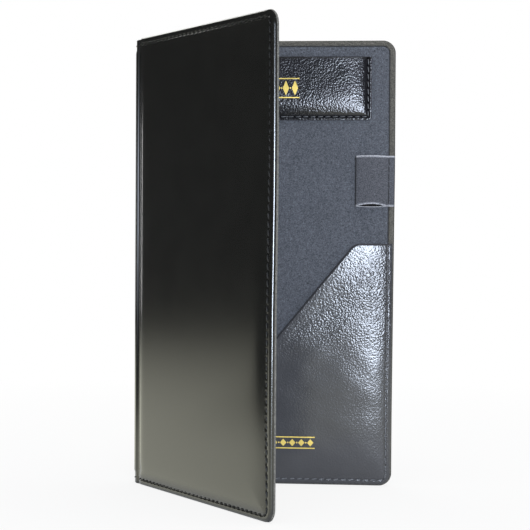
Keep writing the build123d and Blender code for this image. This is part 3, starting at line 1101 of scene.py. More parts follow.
@dataclass
class Cover:
    """A padded cover: crowned skin turned in round the board, and its lining sheet."""

    name: str
    frame: CoverFrame
    finishes: Finishes
    swelling: Swelling
    width: float = 144.0
    height: float = 254.0
    hinge: float = 1.15
    hinge_gap: float = 0.6
    corner: float = 7.3
    seam: float = 3.4
    hem: float = 5.0
    skin: float = 1.0
    lining: float = 0.6
    margin: float = 3.2
    hem_level: float = 1.2
    crown: float = 1.5
    puff: float = 0.25
    setback: float = 0.35
    # Strength of a painted highlight along the lining's turned edge.
    rub: float = 0.0
    channel_end: float = 6.5
    hinge_level: float = 1.85
    hinge_run: float = 6.0
    sunk_run: float = 3.0
    wall: float = 1.35
    crown_run: float = 5.0
    wander: float = 1.1
    press: tuple[float, float, float] = (0.55, 0.05, 0.45)
    roll: float = 1.58
    bend: Array = field(default_factory=lambda: EDGE_BEND)

    def edge(self, u: Array, v: Array) -> Array:
        """Distance to the nearest free edge, rounded at the free corners."""
        return inwards(self.width - u, np.minimum(v, self.height - v), self.corner)

    def seam_run(self) -> Array:
        """The stitch line along the three free edges, from the spine at the top round to the spine again."""
        near, far, low, high = self.hinge + self.hinge_gap, self.width - self.seam, self.seam, self.height - self.seam
        run = rounded_run([(near, high), (far, high), (far, low), (near, low)], self.corner - self.seam)
        drift = self.wander * bell(run[:, 1], 72.0, 55.0) * smooth(far - 8.0, far, run[:, 0])
        return run - np.stack([drift, 0.0 * drift], 1)

    def skin_face(self, u: Array, v: Array) -> Array:
        """Outer face: margin, stitch groove with a pit at each hole, crown and sunk channel ends at the spine."""
        edge = self.edge(u, v)
        inside = np.maximum(edge - self.seam, 0.0)
        height = self.margin + 0.1 * np.sin(np.clip(edge / self.seam, 0, 1) * math.pi)
        height = height + self.crown * (1.0 - np.exp(-inside / self.crown_run))
        height = height + self.puff * np.clip(self.swelling.at(u, v), 0.0, SWELLING_TOP)
        height = height - groove(u, v, self.seam_run(), edge, *self.press)
        sunk = smooth(self.channel_end + 1.5, self.channel_end - 1.0, np.minimum(v, self.height - v))
        reach = self.hinge_run * (1.0 - sunk) + self.sunk_run * sunk
        beside = np.maximum(u - self.hinge, 0.0)
        share = 1.0 - np.exp(-0.15 * beside - (beside / reach) ** 2.2)
        return self.hinge_level + (height - self.hinge_level) * share

    def skin_back(self, u: Array, v: Array) -> Array:
        """Inner face: the turned-in hem on the lining, then the underside of the skin, and the wall at the spine."""
        edge = self.edge(u, v)
        under = self.skin_face(u, v) - self.skin
        inside = np.where(edge < self.hem, self.hem_level, np.maximum(under, self.hem_level + 0.9))
        return np.where(u - self.hinge < self.wall, self.lining, inside)

    def lining_face(self, u: Array, v: Array) -> Array:
        """Face of the lining: flat, with the stitch groove pressed in and a soft lip beside it."""
        edge = self.edge(u, v)
        pressed = 0.32 * bell(edge, self.seam, 0.55)
        lip = 0.08 * bell(edge, self.seam - 1.5, 0.9) + 0.05 * bell(edge, self.seam + 1.6, 1.0)
        return pressed - lip

    def lining_back(self, u: Array, v: Array) -> Array:
        """Back of the lining: the turned-in ply, then the single sheet."""
        edge = self.edge(u, v)
        return np.where(edge < self.hem, self.hem_level, self.lining_face(u, v) + self.lining)

    def build_skin(self) -> None:
        """The padded skin as one closed form."""
        corners = box(self.hinge, self.width, 0.0, self.height)
        outline = Outline(corners, (1.2, self.corner, self.corner, 1.2), (66, 120), 0.6)
        insets = [1.62, 1.85, 2.1, 2.4, 2.65, 2.9, *np.arange(31, 48, 2) / 10, 4.99, 5.01, 5.4, 5.9, 6.6, 7.4, 8.6,
                  10.0, 11.6, 13.4, 15.4]
        surface = shell(outline, insets, self.roll, self.skin_face, self.skin_back, fine_from=8.0, bend=self.bend)
        piece = make_piece(
            f"{self.name}_padded_skin", surface, self.frame.to_row, self.finishes.cover, Slot.LEATHERETTE,
            tints={"band": np.zeros(len(surface.points))},
        )
        attach(piece, self.frame.body, f"{self.name}_skin")

    def build_lining(self) -> None:
        """The lining sheet with its edges turned in."""
        inset = self.setback
        corners = box(self.hinge, self.width - inset, inset, self.height - inset)
        outline = Outline(corners, (0.6, self.corner - inset, self.corner - inset, 0.6), (58, 104), 0.5)
        step = self.hem - inset
        insets = [0.62, 0.9, 1.3, 1.7, 1.95, *np.arange(22, 37, 2) / 10, 3.9, step - 0.01, step + 0.01, 5.3, 6.2, 7.5,
                  9.5]
        surface = shell(outline, insets, 0.6, self.lining_face, self.lining_back, fine_from=5.0)
        edge = self.edge(surface.points[:, 0], surface.points[:, 1])
        piece = make_piece(
            f"{self.name}_lining_sheet", surface, self.frame.to_row, self.finishes.lining, Slot.LINING,
            tints={
                "band": 1.0 - smooth(self.seam - 0.5, self.seam + 0.2, edge),
                # Near-black line along the stitch groove: the dark thread's colour together with painted shade in the
                # groove.
                "painted_shade": 0.6 * bell(edge, self.seam, 0.35),
                # Painted highlight along the lining's turned edge.
                "rub": self.rub * (1.0 - smooth(inset + 0.3, inset + 0.6, edge)),
            },
        )
        attach(piece, self.frame.body, f"{self.name}_lining")

    def build_outer_stitches(self, cad_node: str) -> None:
        """The stitches on the outside."""
        sew(f"{self.name}_outer_stitches", cad_node, self.frame, self.seam_run(), self.skin_face, self.finishes.yarn,
            OUTER_STITCH, 1.0)


# ---- Spine -----------------------------------------------------------------
@dataclass
class Spine:
    """The soft spine: skin and lining, each in two halves that meet in the middle of the arch."""

    back: CoverFrame
    front: CoverFrame
    finishes: Finishes
    body: str = "spine"
    centre: tuple[float, float] = (2.3625, -3.4)
    radius: float = 4.8625
    arc_end: float = 55.0
    height: float = 254.0
    channel_end: float = 6.5
    seam: float = 3.4
    allowance: float = 2.5
    arc_steps: int = 21
    tuck_steps: int = 14
    reach: float = 3.5
    bend_from: int = 19
    bend_to: float = 1.1
    crown_angle: float = 24.7
    crown_half: float = 0.2
    sunk: float = 0.28
    raised: float = 0.12
    skin: float = 1.15
    # A painted highlight: a lighter line along the front half of the arch, with its strength and its angle on the
    # arch.
    rub: float = 1.3
    highlight_angle: float = 48.0

    def half_path(self, cover: CoverFrame, offset: float, reach: float, level: float) -> Array:
        """Plan of one half: the arch from its middle to near the crease, then a curve that tucks into the cover.

        Args:
            cover: The cover that this half leads to.
            offset: Distance of the path outside the arch's middle surface, mm.
            reach: Where it ends on the cover, from the crease.
            level: Height of its end above the face of the cover's lining.

        Returns:
            (n, 2) points in the back cover's frame, (u, w).
        """
        mirror = 1.0 if cover is self.back else -1.0
        angle = np.radians(np.linspace(0.0, self.arc_end, self.arc_steps + 1))
        middle = np.array(self.centre)
        arc = middle + (self.radius + offset) * np.stack([-np.cos(angle), mirror * np.sin(angle)], 1)
        away = unit(arc[-1] - arc[-2])
        target = cover.to_row(np.array([reach, 0.0, level]))
        ahead = cover.direction(np.array([1.0, 0.0, 0.0]))
        end = np.array([(target - self.back.origin) @ axis for axis in (self.back.along, self.back.outward)]) / MM
        into = np.array([ahead @ self.back.along, ahead @ self.back.outward])
        pull = np.linalg.norm(end - arc[-1])
        t = np.linspace(0, 1, self.tuck_steps + 1)[1:, None]
        tuck = (
            (2 * t**3 - 3 * t**2 + 1) * arc[-1] + (t**3 - 2 * t**2 + t) * pull * away
            + (3 * t**2 - 2 * t**3) * end + (t**3 - t**2) * pull * into
        )
        return np.concatenate([arc, tuck])

    def levels(self, inset: float) -> Array:
        """Heights of a half's section, close together where the raised panel ends."""
        low = np.array([0.0, 1.2, 2.4, 3.4, 4.4, 5.2, 5.8, 6.3, 6.8, 7.3, 7.9, 8.8, 10.5]) + inset
        middle = np.linspace(14.0, self.height - 14.0, 46)
        return np.concatenate([low, middle, (self.height - low)[::-1]])

    def half(self, name: str, cover: CoverFrame, lining: bool) -> None:
        """One half of the skin or of the lining, from the middle of the arch into its cover.

        The skin stands a little proud over the board and sinks into the channels at its ends. Its front half
        lies flat near the crown, where the radius grows by 1 / cos(angle) - 1.

        Args:
            name: Name of the piece.
            cover: The cover that this half leads to.
            lining: The lining, or else the skin.
        """
        skin_front = not lining and cover is not self.back
        offset, half, level = (-0.55, 0.3, 0.95) if lining else (0.65, 0.5, 1.55)
        path = self.half_path(cover, offset, self.reach, level)
        tangent = unit(np.gradient(path, axis=0))
        normal = np.stack([-tangent[:, 1], tangent[:, 0]], 1) * (1.0 if cover is self.back else -1.0)
        levels = self.levels(0.9 if lining else half)
        run = run_length(path)
        raised = smooth(self.channel_end - 0.6, self.channel_end + 1.2, np.minimum(levels, self.height - levels))
        board = 1.0 - smooth(3.3, 4.3, run)
        crown = math.radians(self.crown_angle)
        turn = np.radians(self.arc_end) * np.arange(len(path)) / self.arc_steps
        angle = turn - crown
        nearby = np.clip(angle, -self.crown_half, self.crown_half)
        flat = (self.radius + self.skin) * (1.0 / np.cos(nearby) - 1.0) * smooth(0.42, 0.2, np.abs(angle))
        swell = flat[:, None] * skin_front + self.raised * board[:, None] * raised - self.sunk * (1 - raised)
        surface = strip(path, normal, np.full(len(path), half), levels, 0.0 if lining else swell)
        order = Surface(surface.points[:, [0, 2, 1]], surface.faces, surface.sheet)
        # Painted highlight: a light line along the arch, strongest about 165 mm up.
        highlight_line = bell(np.repeat(turn, len(order.points) // len(path)), math.radians(self.highlight_angle), math.radians(4.5))
        rub = self.rub * highlight_line * bell(order.points[:, 1], 165.0, 50.0)
        piece = make_piece(
            name, order, self.back.to_row, self.finishes.sheet_lining if lining else self.finishes.spine,
            Slot.LINING if lining else Slot.LEATHERETTE, sharp=60.0,
            tints={"band": np.zeros(len(order.points)), "rub": rub * skin_front},
        )
        start = self.back.to_row(np.array([path[self.bend_from][0], 0.0, path[self.bend_from][1]]))
        stop = cover.to_row(np.array([self.bend_to, 0.0, AXIS_LEVEL]))
        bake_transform(piece)
        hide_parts("spine_lining" if lining else "spine_skin")

    def build_stitches(self) -> None:
        """The rows that cross the spine near its ends, outside and inside."""
        rows = []
        angle = np.radians(np.linspace(-46.0, 46.0, 40))
        away = np.stack([-np.cos(angle), 0.0 * angle, np.sin(angle)], 1)
        centre = np.array([self.centre[0], 0.0, self.centre[1]])
        for offset, outward, kind in ((self.skin - self.sunk, 1.0, OUTER_STITCH), (-0.85, -1.0, LINING_STITCH)):
            normals = self.back.direction(unit(away) * outward)
            for level in (self.seam, self.height - self.seam):
                plan = centre + (self.radius + offset + outward * 0.12) * away
                rows.append(kind.surface(self.back.to_row(plan + np.array([0.0, level, 0.0])), normals))
        piece = make_piece("spine_stitches", rows[0].joined(*rows[1:]), np.asarray, self.finishes.yarn, Slot.THREAD,
                           sharp=180.0)
        attach(piece, self.body, "spine_thread")

    def build(self) -> None:
        """Build the halves and the stitches."""
        for side, cover in (("back", self.back), ("front", self.front)):
            self.half(f"spine_skin_{side}_half", cover, False)
            self.half(f"spine_lining_{side}_half", cover, True)
        self.build_stitches()


# ---- Card pocket -----------------------------------------------------------
@dataclass
class Pocket:
    """What the pockets share: their cover, their finishes and how their panels swell."""

    frame: CoverFrame
    finishes: Finishes
    swelling: Swelling | None = field(default=None, init=False)

    def rise(self, u: Array, v: Array) -> Array:
        """Height of the face above the lining."""
        raise NotImplementedError

    def face(self, u: Array, v: Array) -> Array:
        """Face of the panel, towards the reader."""
        return -self.rise(u, v)


@dataclass
class CardPocket(Pocket):
    """The padded card pocket near the top of the back cover, open upwards."""

    left: float = 14.0
    right: float = 130.7
    low: float = 208.5
    high: float = 244.6
    corner: float = 2.0
    seam: float = 2.0
    press: tuple[float, float, float] = (0.45, 0.15, 0.35)
    rim: float = 4.2
    bead: float = 1.25
    shoulder: float = 1.55
    dome: float = 1.4
    dome_run: float = 5.5
    tilt: float = 0.045
    bow: float = 0.0002
    middle: float = 72.0
    ply: float = 0.75
    slot: float = 0.8
    puff: float = 0.5

    def edge(self, u: Array, v: Array) -> Array:
        """Distance to the nearest sewn side: left, right or bottom, rounded at the bottom corners."""
        return inwards(np.minimum(u - self.left, self.right - u), v - self.low, self.corner)

    def seam_run(self) -> Array:
        """The stitch line: down the left side, across and up the right side."""
        left, right, low, high = self.left + self.seam, self.right - self.seam, self.low + self.seam, self.high - 1.0
        return rounded_run([(left, high), (left, low), (right, low), (right, high)], 1.5)

    def rise(self, u: Array, v: Array) -> Array:
        """Height of the face above the lining: bead, groove, round shoulder and puffed middle, finely creased."""
        edge = self.edge(u, v)
        bead = self.bead - 0.12 * (1 - np.sin(np.clip(edge / 1.5, 0, 1) * math.pi))
        inside = np.maximum(edge - self.seam, 0.0)
        side, low = np.minimum(u - self.left, self.right - u) - self.seam, v - self.low - self.seam
        dome = 1.0
        for gap in (side, low):
            dome = dome * (1 - np.exp(-np.maximum(gap, 0.0) / self.dome_run))
        pad = self.ply + self.shoulder * (1 - np.exp(-inside / 0.6)) + self.dome * dome
        pad = pad - self.tilt * np.maximum(v - self.low - 9.0, 0.0) - self.bow * (u - self.middle) ** 2
        pad = pad + self.puff * self.swelling.at(u, v) * smooth(0.0, 9.0, inside)
        height = np.where(edge > self.seam, pad, np.minimum(bead, self.ply + 1.2 * (self.seam - edge)))
        height = height - groove(u, v, self.seam_run(), edge, *self.press)
        return height + 0.02 * ripple(u, v, 14.0, 11) * smooth(3.0, 7.0, edge)

    def back(self, u: Array, v: Array) -> Array:
        """Back of the panel: on the lining at the rim, a slot's height above it inside."""
        return -self.slot * smooth(self.rim - 0.6, self.rim + 0.6, self.edge(u, v))

    def build(self) -> None:
        """Build the pocket and its stitches."""
        left, right, low = self.left + self.seam, self.right - self.seam, self.low + self.seam
        swelling = Swelling(left, left, right, low, self.high, (58, 17), pinned_left=True, pinned_top=False)
        self.swelling = swelling.simulated(pressure=3.0)
        corners = box(self.left, self.right, self.low, self.high)
        outline = Outline(corners, (self.corner, self.corner, 0.5, 0.5), (150, 36), 0.3)
        insets = [0.42, 0.65, 0.9, 1.15, 1.4, 1.6, 1.75, 1.9, 2.05, 2.2, 2.4, 2.6, 2.85, 3.2, 3.6, 4.2, 5.0, 6.0]

        surface = shell(outline, insets, 0.4, self.face, self.back)
        panel = make_piece(
            "card_pocket_padded_panel", surface, self.frame.to_row, self.finishes.card, Slot.LEATHERETTE,
            # Along the top fold the band calms the grain, and its lighter colour is a painted highlight.
            tints={"band": 0.8 * bell(self.high - surface.points[:, 1], 0.3, 1.0)},
        )
        attach(panel, self.frame.body, "card_pocket_panel", "card_pocket_pad")
        sew("card_pocket_stitches", "card_pocket_thread", self.frame, self.seam_run(), self.face,
            self.finishes.painted_highlight_yarn, POCKET_STITCH)


# ---- Slanted pocket --------------------------------------------------------
MOUTH_BEND = np.array(
    [(1.0, 1.0), (0.86, 0.975), (0.74, 0.9), (0.64, 0.8), (0.1, 0.22), (0.03, 0.12), (0.0, 0.05), (0.04, 0.0),
     (1.0, 0.0)]
)


@dataclass
class SlantedPocket(Pocket):
    """The bill pocket with a slanted, turned-in mouth, sewn down at its right side and bottom."""

    toe: float = 9.19
    toe_gap: float = 5.0
    turn: float = 121.8
    right: float = 143.2
    low: float = 0.8
    high: float = 138.3
    corner: float = 6.5
    mouth_radius: float = 7.0
    join: float = 3.0
    mouth_length: float = 176.0
    seam: float = 2.6
    rim: float = 3.0
    run: float = 6.5
    ply: float = 0.8
    lift: float = 1.4
    hem: float = 8.0
    puff: float = 0.35
    press: tuple[float, float, float] = (0.5, 0.12, 0.4)
    pinch: float = 0.6
    pinch_run: float = 2.3
    sewn_roll: float = 1.1

    def edge(self, u: Array, v: Array) -> Array:
        """Distance to the sewn sides, rounded at the bottom right corner."""
        return inwards(self.right - u, v - self.low, self.corner)

    def seam_run(self, gap: float) -> Array:
        """The stitch line: from gap below the top down the right side and along the bottom to the toe."""
        far, low = self.right - self.seam, self.low + self.seam
        corners = [(far, self.high - gap), (far, low), (self.toe + self.toe_gap, low)]
        return rounded_run(corners, self.corner - self.seam)

    def mouth(self, u: Array, v: Array) -> Array:
        """Distance to the mouth: the smaller of the level and the slanted distance, smoothly joined."""
        slope = np.array([self.turn - self.toe, self.high - self.low])
        normal = unit(np.array([slope[1], -slope[0]]))
        slant = (u - self.toe) * normal[0] + (v - self.low) * normal[1]
        level = self.high - v
        share = np.clip(0.5 + (level - slant) / (2 * self.join), 0.0, 1.0)
        return level * (1 - share) + slant * share - self.join * share * (1 - share)

    def rise(self, u: Array, v: Array) -> Array:
        """Height of the face above the lining: flat sewn rim, rise, puffed sheet, imprint of the mouth's hem."""
        edge, mouth = self.edge(u, v), self.mouth(u, v)
        free = np.clip(v / self.high, 0.0, 1.0) ** 2
        side = np.maximum(self.right - u - self.rim, 0.0) / (self.run * (1 + 0.9 * free))
        low = np.maximum(v - self.low - self.rim, 0.0) / self.run
        lift = (1 - np.exp(-side)) * (1 - np.exp(-low)) * (1 + 0.75 * free)
        swelling = np.clip(self.swelling.at(u, v), 0.0, SWELLING_TOP)
        height = self.ply + self.lift * lift + self.puff * swelling * smooth(self.rim, 14.0, edge)
        height = height - groove(u, v, self.seam_run(0.5), edge, *self.press)
        height = height - self.pinch * (np.maximum(self.pinch_run - edge, 0.0) / self.pinch_run) ** 1.5
        waves = ripple(u, v, 24.0, 21) * 0.05
        waves = waves * smooth(3.0, 12.0, edge) * smooth(1.0, 10.0, mouth)
        return height + waves - 0.05 * smooth(4.0, 8.0, mouth) * lift

    def back(self, u: Array, v: Array) -> Array:
        """Back of the sheet: two plies thick along the mouth, one elsewhere, on the lining at the rim."""
        plies = np.where(self.mouth(u, v) < self.hem, 2.0, 1.0)
        return -np.maximum(self.rise(u, v) - self.ply * plies, 0.0) * smooth(3.0, 4.6, self.edge(u, v))

    def build(self) -> None:
        """Build the pocket and its stitches."""
        right, low = self.right - self.seam, self.low + self.seam
        size = (self.toe + 2.1, self.turn, right, low, self.high)
        swelling = Swelling(*size, (32, 34), pinned_left=False, pinned_top=False)
        self.swelling = swelling.simulated(pressure=3.0)
        outline = Outline(
            ((self.toe, self.low), (self.right, self.low), (self.right, self.high), (self.turn, self.high)),
            (0.4, self.corner, 0.6, self.mouth_radius),
            (92, 118),
            0.3,
        )
        insets = [1.12, 1.35, 1.65, 1.9, 2.1, 2.3, 2.5, 2.7, 2.9, 3.1, 3.3, 3.6, 4.0, 4.4, 4.9, 5.5, 6.2, 7.0, 7.99,
                  8.01, 8.8]
        surface = shell(outline, insets, self.sewn_roll, self.face, self.back, bend=MOUTH_BEND)
        height = surface.points[:, 1]
        at_mouth = 0.6 - 0.6 * smooth(3.0, 18.0, self.mouth(surface.points[:, 0], height))
        sheet = make_piece(
            "slanted_pocket_sheet", surface, self.frame.to_row, self.finishes.pocket, Slot.LEATHERETTE,
            # Along the mouth the band marks the smoother, lighter hem; over the lower part it calms the grain, and
            # its lighter colour is a painted reflection.
            tints={"band": np.maximum(at_mouth, 0.85 - 0.85 * smooth(66, 104, height))},
        )
        attach(sheet, self.frame.body, "slanted_pocket_panel", "slanted_pocket_hem")
        sew("slanted_pocket_stitches", "slanted_pocket_thread", self.frame, self.seam_run(0.6), self.face,
            self.finishes.painted_highlight_yarn, POCKET_STITCH)


# ---- Pen loop --------------------------------------------------------------
@dataclass
class PenLoop:
    """The flattened loop of lining cloth, sewn down beside the free edge of the back cover."""

    frame: CoverFrame
    finishes: Finishes
    low: float = 159.4
    high: float = 188.3
    fold: float = 121.6
    root: float = 139.1
    tail: float = 143.7
    ply: float = 0.7
    lift: float = 0.3
    crest: float = 3.1
    seam: float = 140.6
    mouth: float = 1.5
    selvage: float = 0.5
    fold_radius: float = 0.65
    end_gap: float = 0.35
    flare: float = 0.25
    swing_from: float = 0.7
    swing_to: float = -1.6
    rows: int = 30

    def path(self) -> Array:
        """Middle of the strip: under, round the fold, over in a low arch, and both tails flat under the seam.

        Returns:
            (n, 2) points (u, height above the lining).
        """
        half = self.ply / 2
        turn = self.fold + self.ply + self.lift
        start, radius = self.root + 1.0, self.fold_radius
        bottom, top = self.lift + half, self.lift + half + 2 * radius
        tail_low = np.stack([np.linspace(self.tail, start, 8), np.full(8, half)], 1)
        t = np.linspace(0, 1, 44)
        under = np.stack([start + (turn - start) * t,
                          half + (bottom - half) * smooth(0.0, 0.18, t) + 0.25 * np.sin(math.pi * t) ** 2], 1)
        angle = np.linspace(0, math.pi, 15)[1:-1]
        round_ = np.stack([turn - radius * np.sin(angle), (bottom + top) / 2 - radius * np.cos(angle)], 1)
        over_end = 3 * half
        arch = (self.crest - half - (top + over_end) / 2) * np.sin(math.pi * np.clip(t * 1.06, 0, 1)) ** 0.9
        over = np.stack([turn + (start - turn) * t, top + (over_end - top) * smooth(0.0, 1.0, t) + arch], 1)
        tail_high = np.stack([np.linspace(start, self.tail, 8), np.full(8, over_end)], 1)
        points = np.concatenate([tail_low[:-1], under[:-1], round_, over[1:-1], tail_high])
        run = run_length(points)
        even = np.linspace(0, run[-1], 170)
        return np.stack([np.interp(even, run, points[:, k]) for k in range(2)], 1)

    def build(self) -> None:
        """Build the strap and its stitches."""
        path = self.path()
        for _ in range(6):
            path[1:-1] = (path[:-2] + 2 * path[1:-1] + path[2:]) / 4
        tangent = unit(np.gradient(path, axis=0))
        normal = np.stack([tangent[:, 1], -tangent[:, 0]], 1)
        half = np.full(len(path), self.ply / 2 - 0.01)
        over = (np.arange(len(path)) > path[:, 0].argmin()) * 1.0
        along = np.clip((path[:, 0] - self.fold - 1.0) / (self.root - self.fold - 1.0), 0.0, 1.0)
        arch = over * np.sin(math.pi * along) ** 0.8
        low = self.low + self.end_gap + self.mouth * arch - self.flare * (1 - over) * np.sin(math.pi * along)
        high = self.high - self.end_gap + self.flare * arch
        levels = np.linspace(low, high, self.rows, axis=1)
        surface = strip(path, normal, half, levels)
        points = surface.points[:, [0, 2, 1]] * np.array([1.0, 1.0, -1.0])
        size = len(points) // len(path)
        row = np.repeat(np.arange(len(path)), size)
        near_end = np.minimum(points[:, 1] - low[row], high[row] - points[:, 1])
        inside = np.arange(len(points)) % size < self.rows
        # Painted shade, near black: the inside of the loop, and the outer face of its fold where it turns to the
        # left.
        painted_shade = np.where(inside, 1.0, smooth(0.45, 0.75, normal[row, 0]))
        # Painted highlight on the strap's cut edges, brighter on the lower ply than on the upper.
        shown = np.where(over[row] > 0, 0.45, 1.0)
        strap = make_piece(
            "pen_loop_strap", Surface(points, surface.faces, surface.sheet), self.frame.to_row, self.finishes.loop,
            Slot.LINING, sharp=60.0,
            tints={"band": shown * (1.0 - smooth(0.0, self.selvage, near_end)), "painted_shade": painted_shade},
        )
        start = self.frame.to_row(np.array([self.root + self.swing_from, 0.0, 0.0]))
        stop = self.frame.to_row(np.array([self.root + self.swing_to, 0.0, 0.0]))
        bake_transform(strap)
        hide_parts("pen_loop", "pen_loop_ends")
        run_length(path)[-1] * MM
        run = np.stack([np.full(60, self.seam), np.linspace(self.high - 1.0, self.low + 1.0, 60)], 1)
        sew("pen_loop_stitches", "pen_loop_thread", self.frame, run, lambda u, v: np.full(u.shape, -2 * self.ply),
            self.finishes.yarn, LINING_STITCH)


# ---- Foil ornaments --------------------------------------------------------
@dataclass
class Ornament:
    """Stamped foil: two rules with a row of lozenges and dots between them, following the leather."""

    name: str
    cad_node: str
    frame: CoverFrame
    finish: Material
    surface: Height
    centre: Point
    length: float
    height: float
    count: int
    rule: float = 0.7
    lozenge: float = 0.36
    dot: float = 0.7
    thickness: float = 0.08
    pressed: float = 0.05

    def patch(self, corners: Sequence[Point], radius: float, cells: tuple[int, int]) -> Surface:
        """A thin closed patch of foil with its face just above the leather."""
        outline = Outline(tuple(corners), (radius,) * 4, cells, 0.01)

        def face(u: Array, v: Array) -> Array:
            """Foil's face: the leather's, raised by the foil."""
            return -self.surface(u, v) - self.thickness

        def back(u: Array, v: Array) -> Array:
            """Foil's back, pressed into the leather."""
            return -self.surface(u, v) + self.pressed

        return shell(outline, [0.05], 0.04, face, back, arc_steps=2)

    def build(self) -> None:
        """Build all the patches as one piece."""
        cu, cv = self.centre
        patches = []
        for side in (-1, 1):
            v = cv + side * (self.height - self.rule) / 2
            a, b, h = cu - self.length / 2, cu + self.length / 2, self.rule / 2
            patches.append(self.patch(box(a, b, v - h, v + h), 0.1, (60, 2)))
        pitch = self.length / self.count
        half, wide = (self.height - 4 * self.rule) / 2, pitch * self.lozenge
        for index in range(self.count):
            u = cu + (index - (self.count - 1) / 2) * pitch
            patches.append(self.patch([(u - wide, cv), (u, cv - half), (u + wide, cv), (u, cv + half)], 0.08, (6, 6)))
            if index:
                d, r = u - pitch / 2, self.rule * self.dot
                patches.append(self.patch(box(d - r, d + r, cv - r, cv + r), r, (3, 3)))
        piece = make_piece(self.name, patches[0].joined(*patches[1:]), self.frame.to_row, self.finish, Slot.FOIL)
        attach(piece, self.frame.body, self.cad_node)


# ---- Studio ----------------------------------------------------------------
KEY_COLOUR = (0.76, 0.85, 1.0)
WHITE = (1.0, 1.0, 1.0)


def stand(thing: bpy.types.Object, right: Array, up: Array, back: Array, at: Sequence[float]) -> None:
    """Put a camera or lamp at its place in the scene, looking against its back axis.

    Args:
        thing: The object.
        right: Its x axis.
        up: Its y axis.
        back: Its z axis.
        at: Its place, metres.
    """
    bpy.context.scene.collection.objects.link(thing)
    matrix = np.eye(4)
    matrix[:3] = np.stack([right, up, back, at], 1)
    thing.matrix_world = Matrix(matrix.tolist())


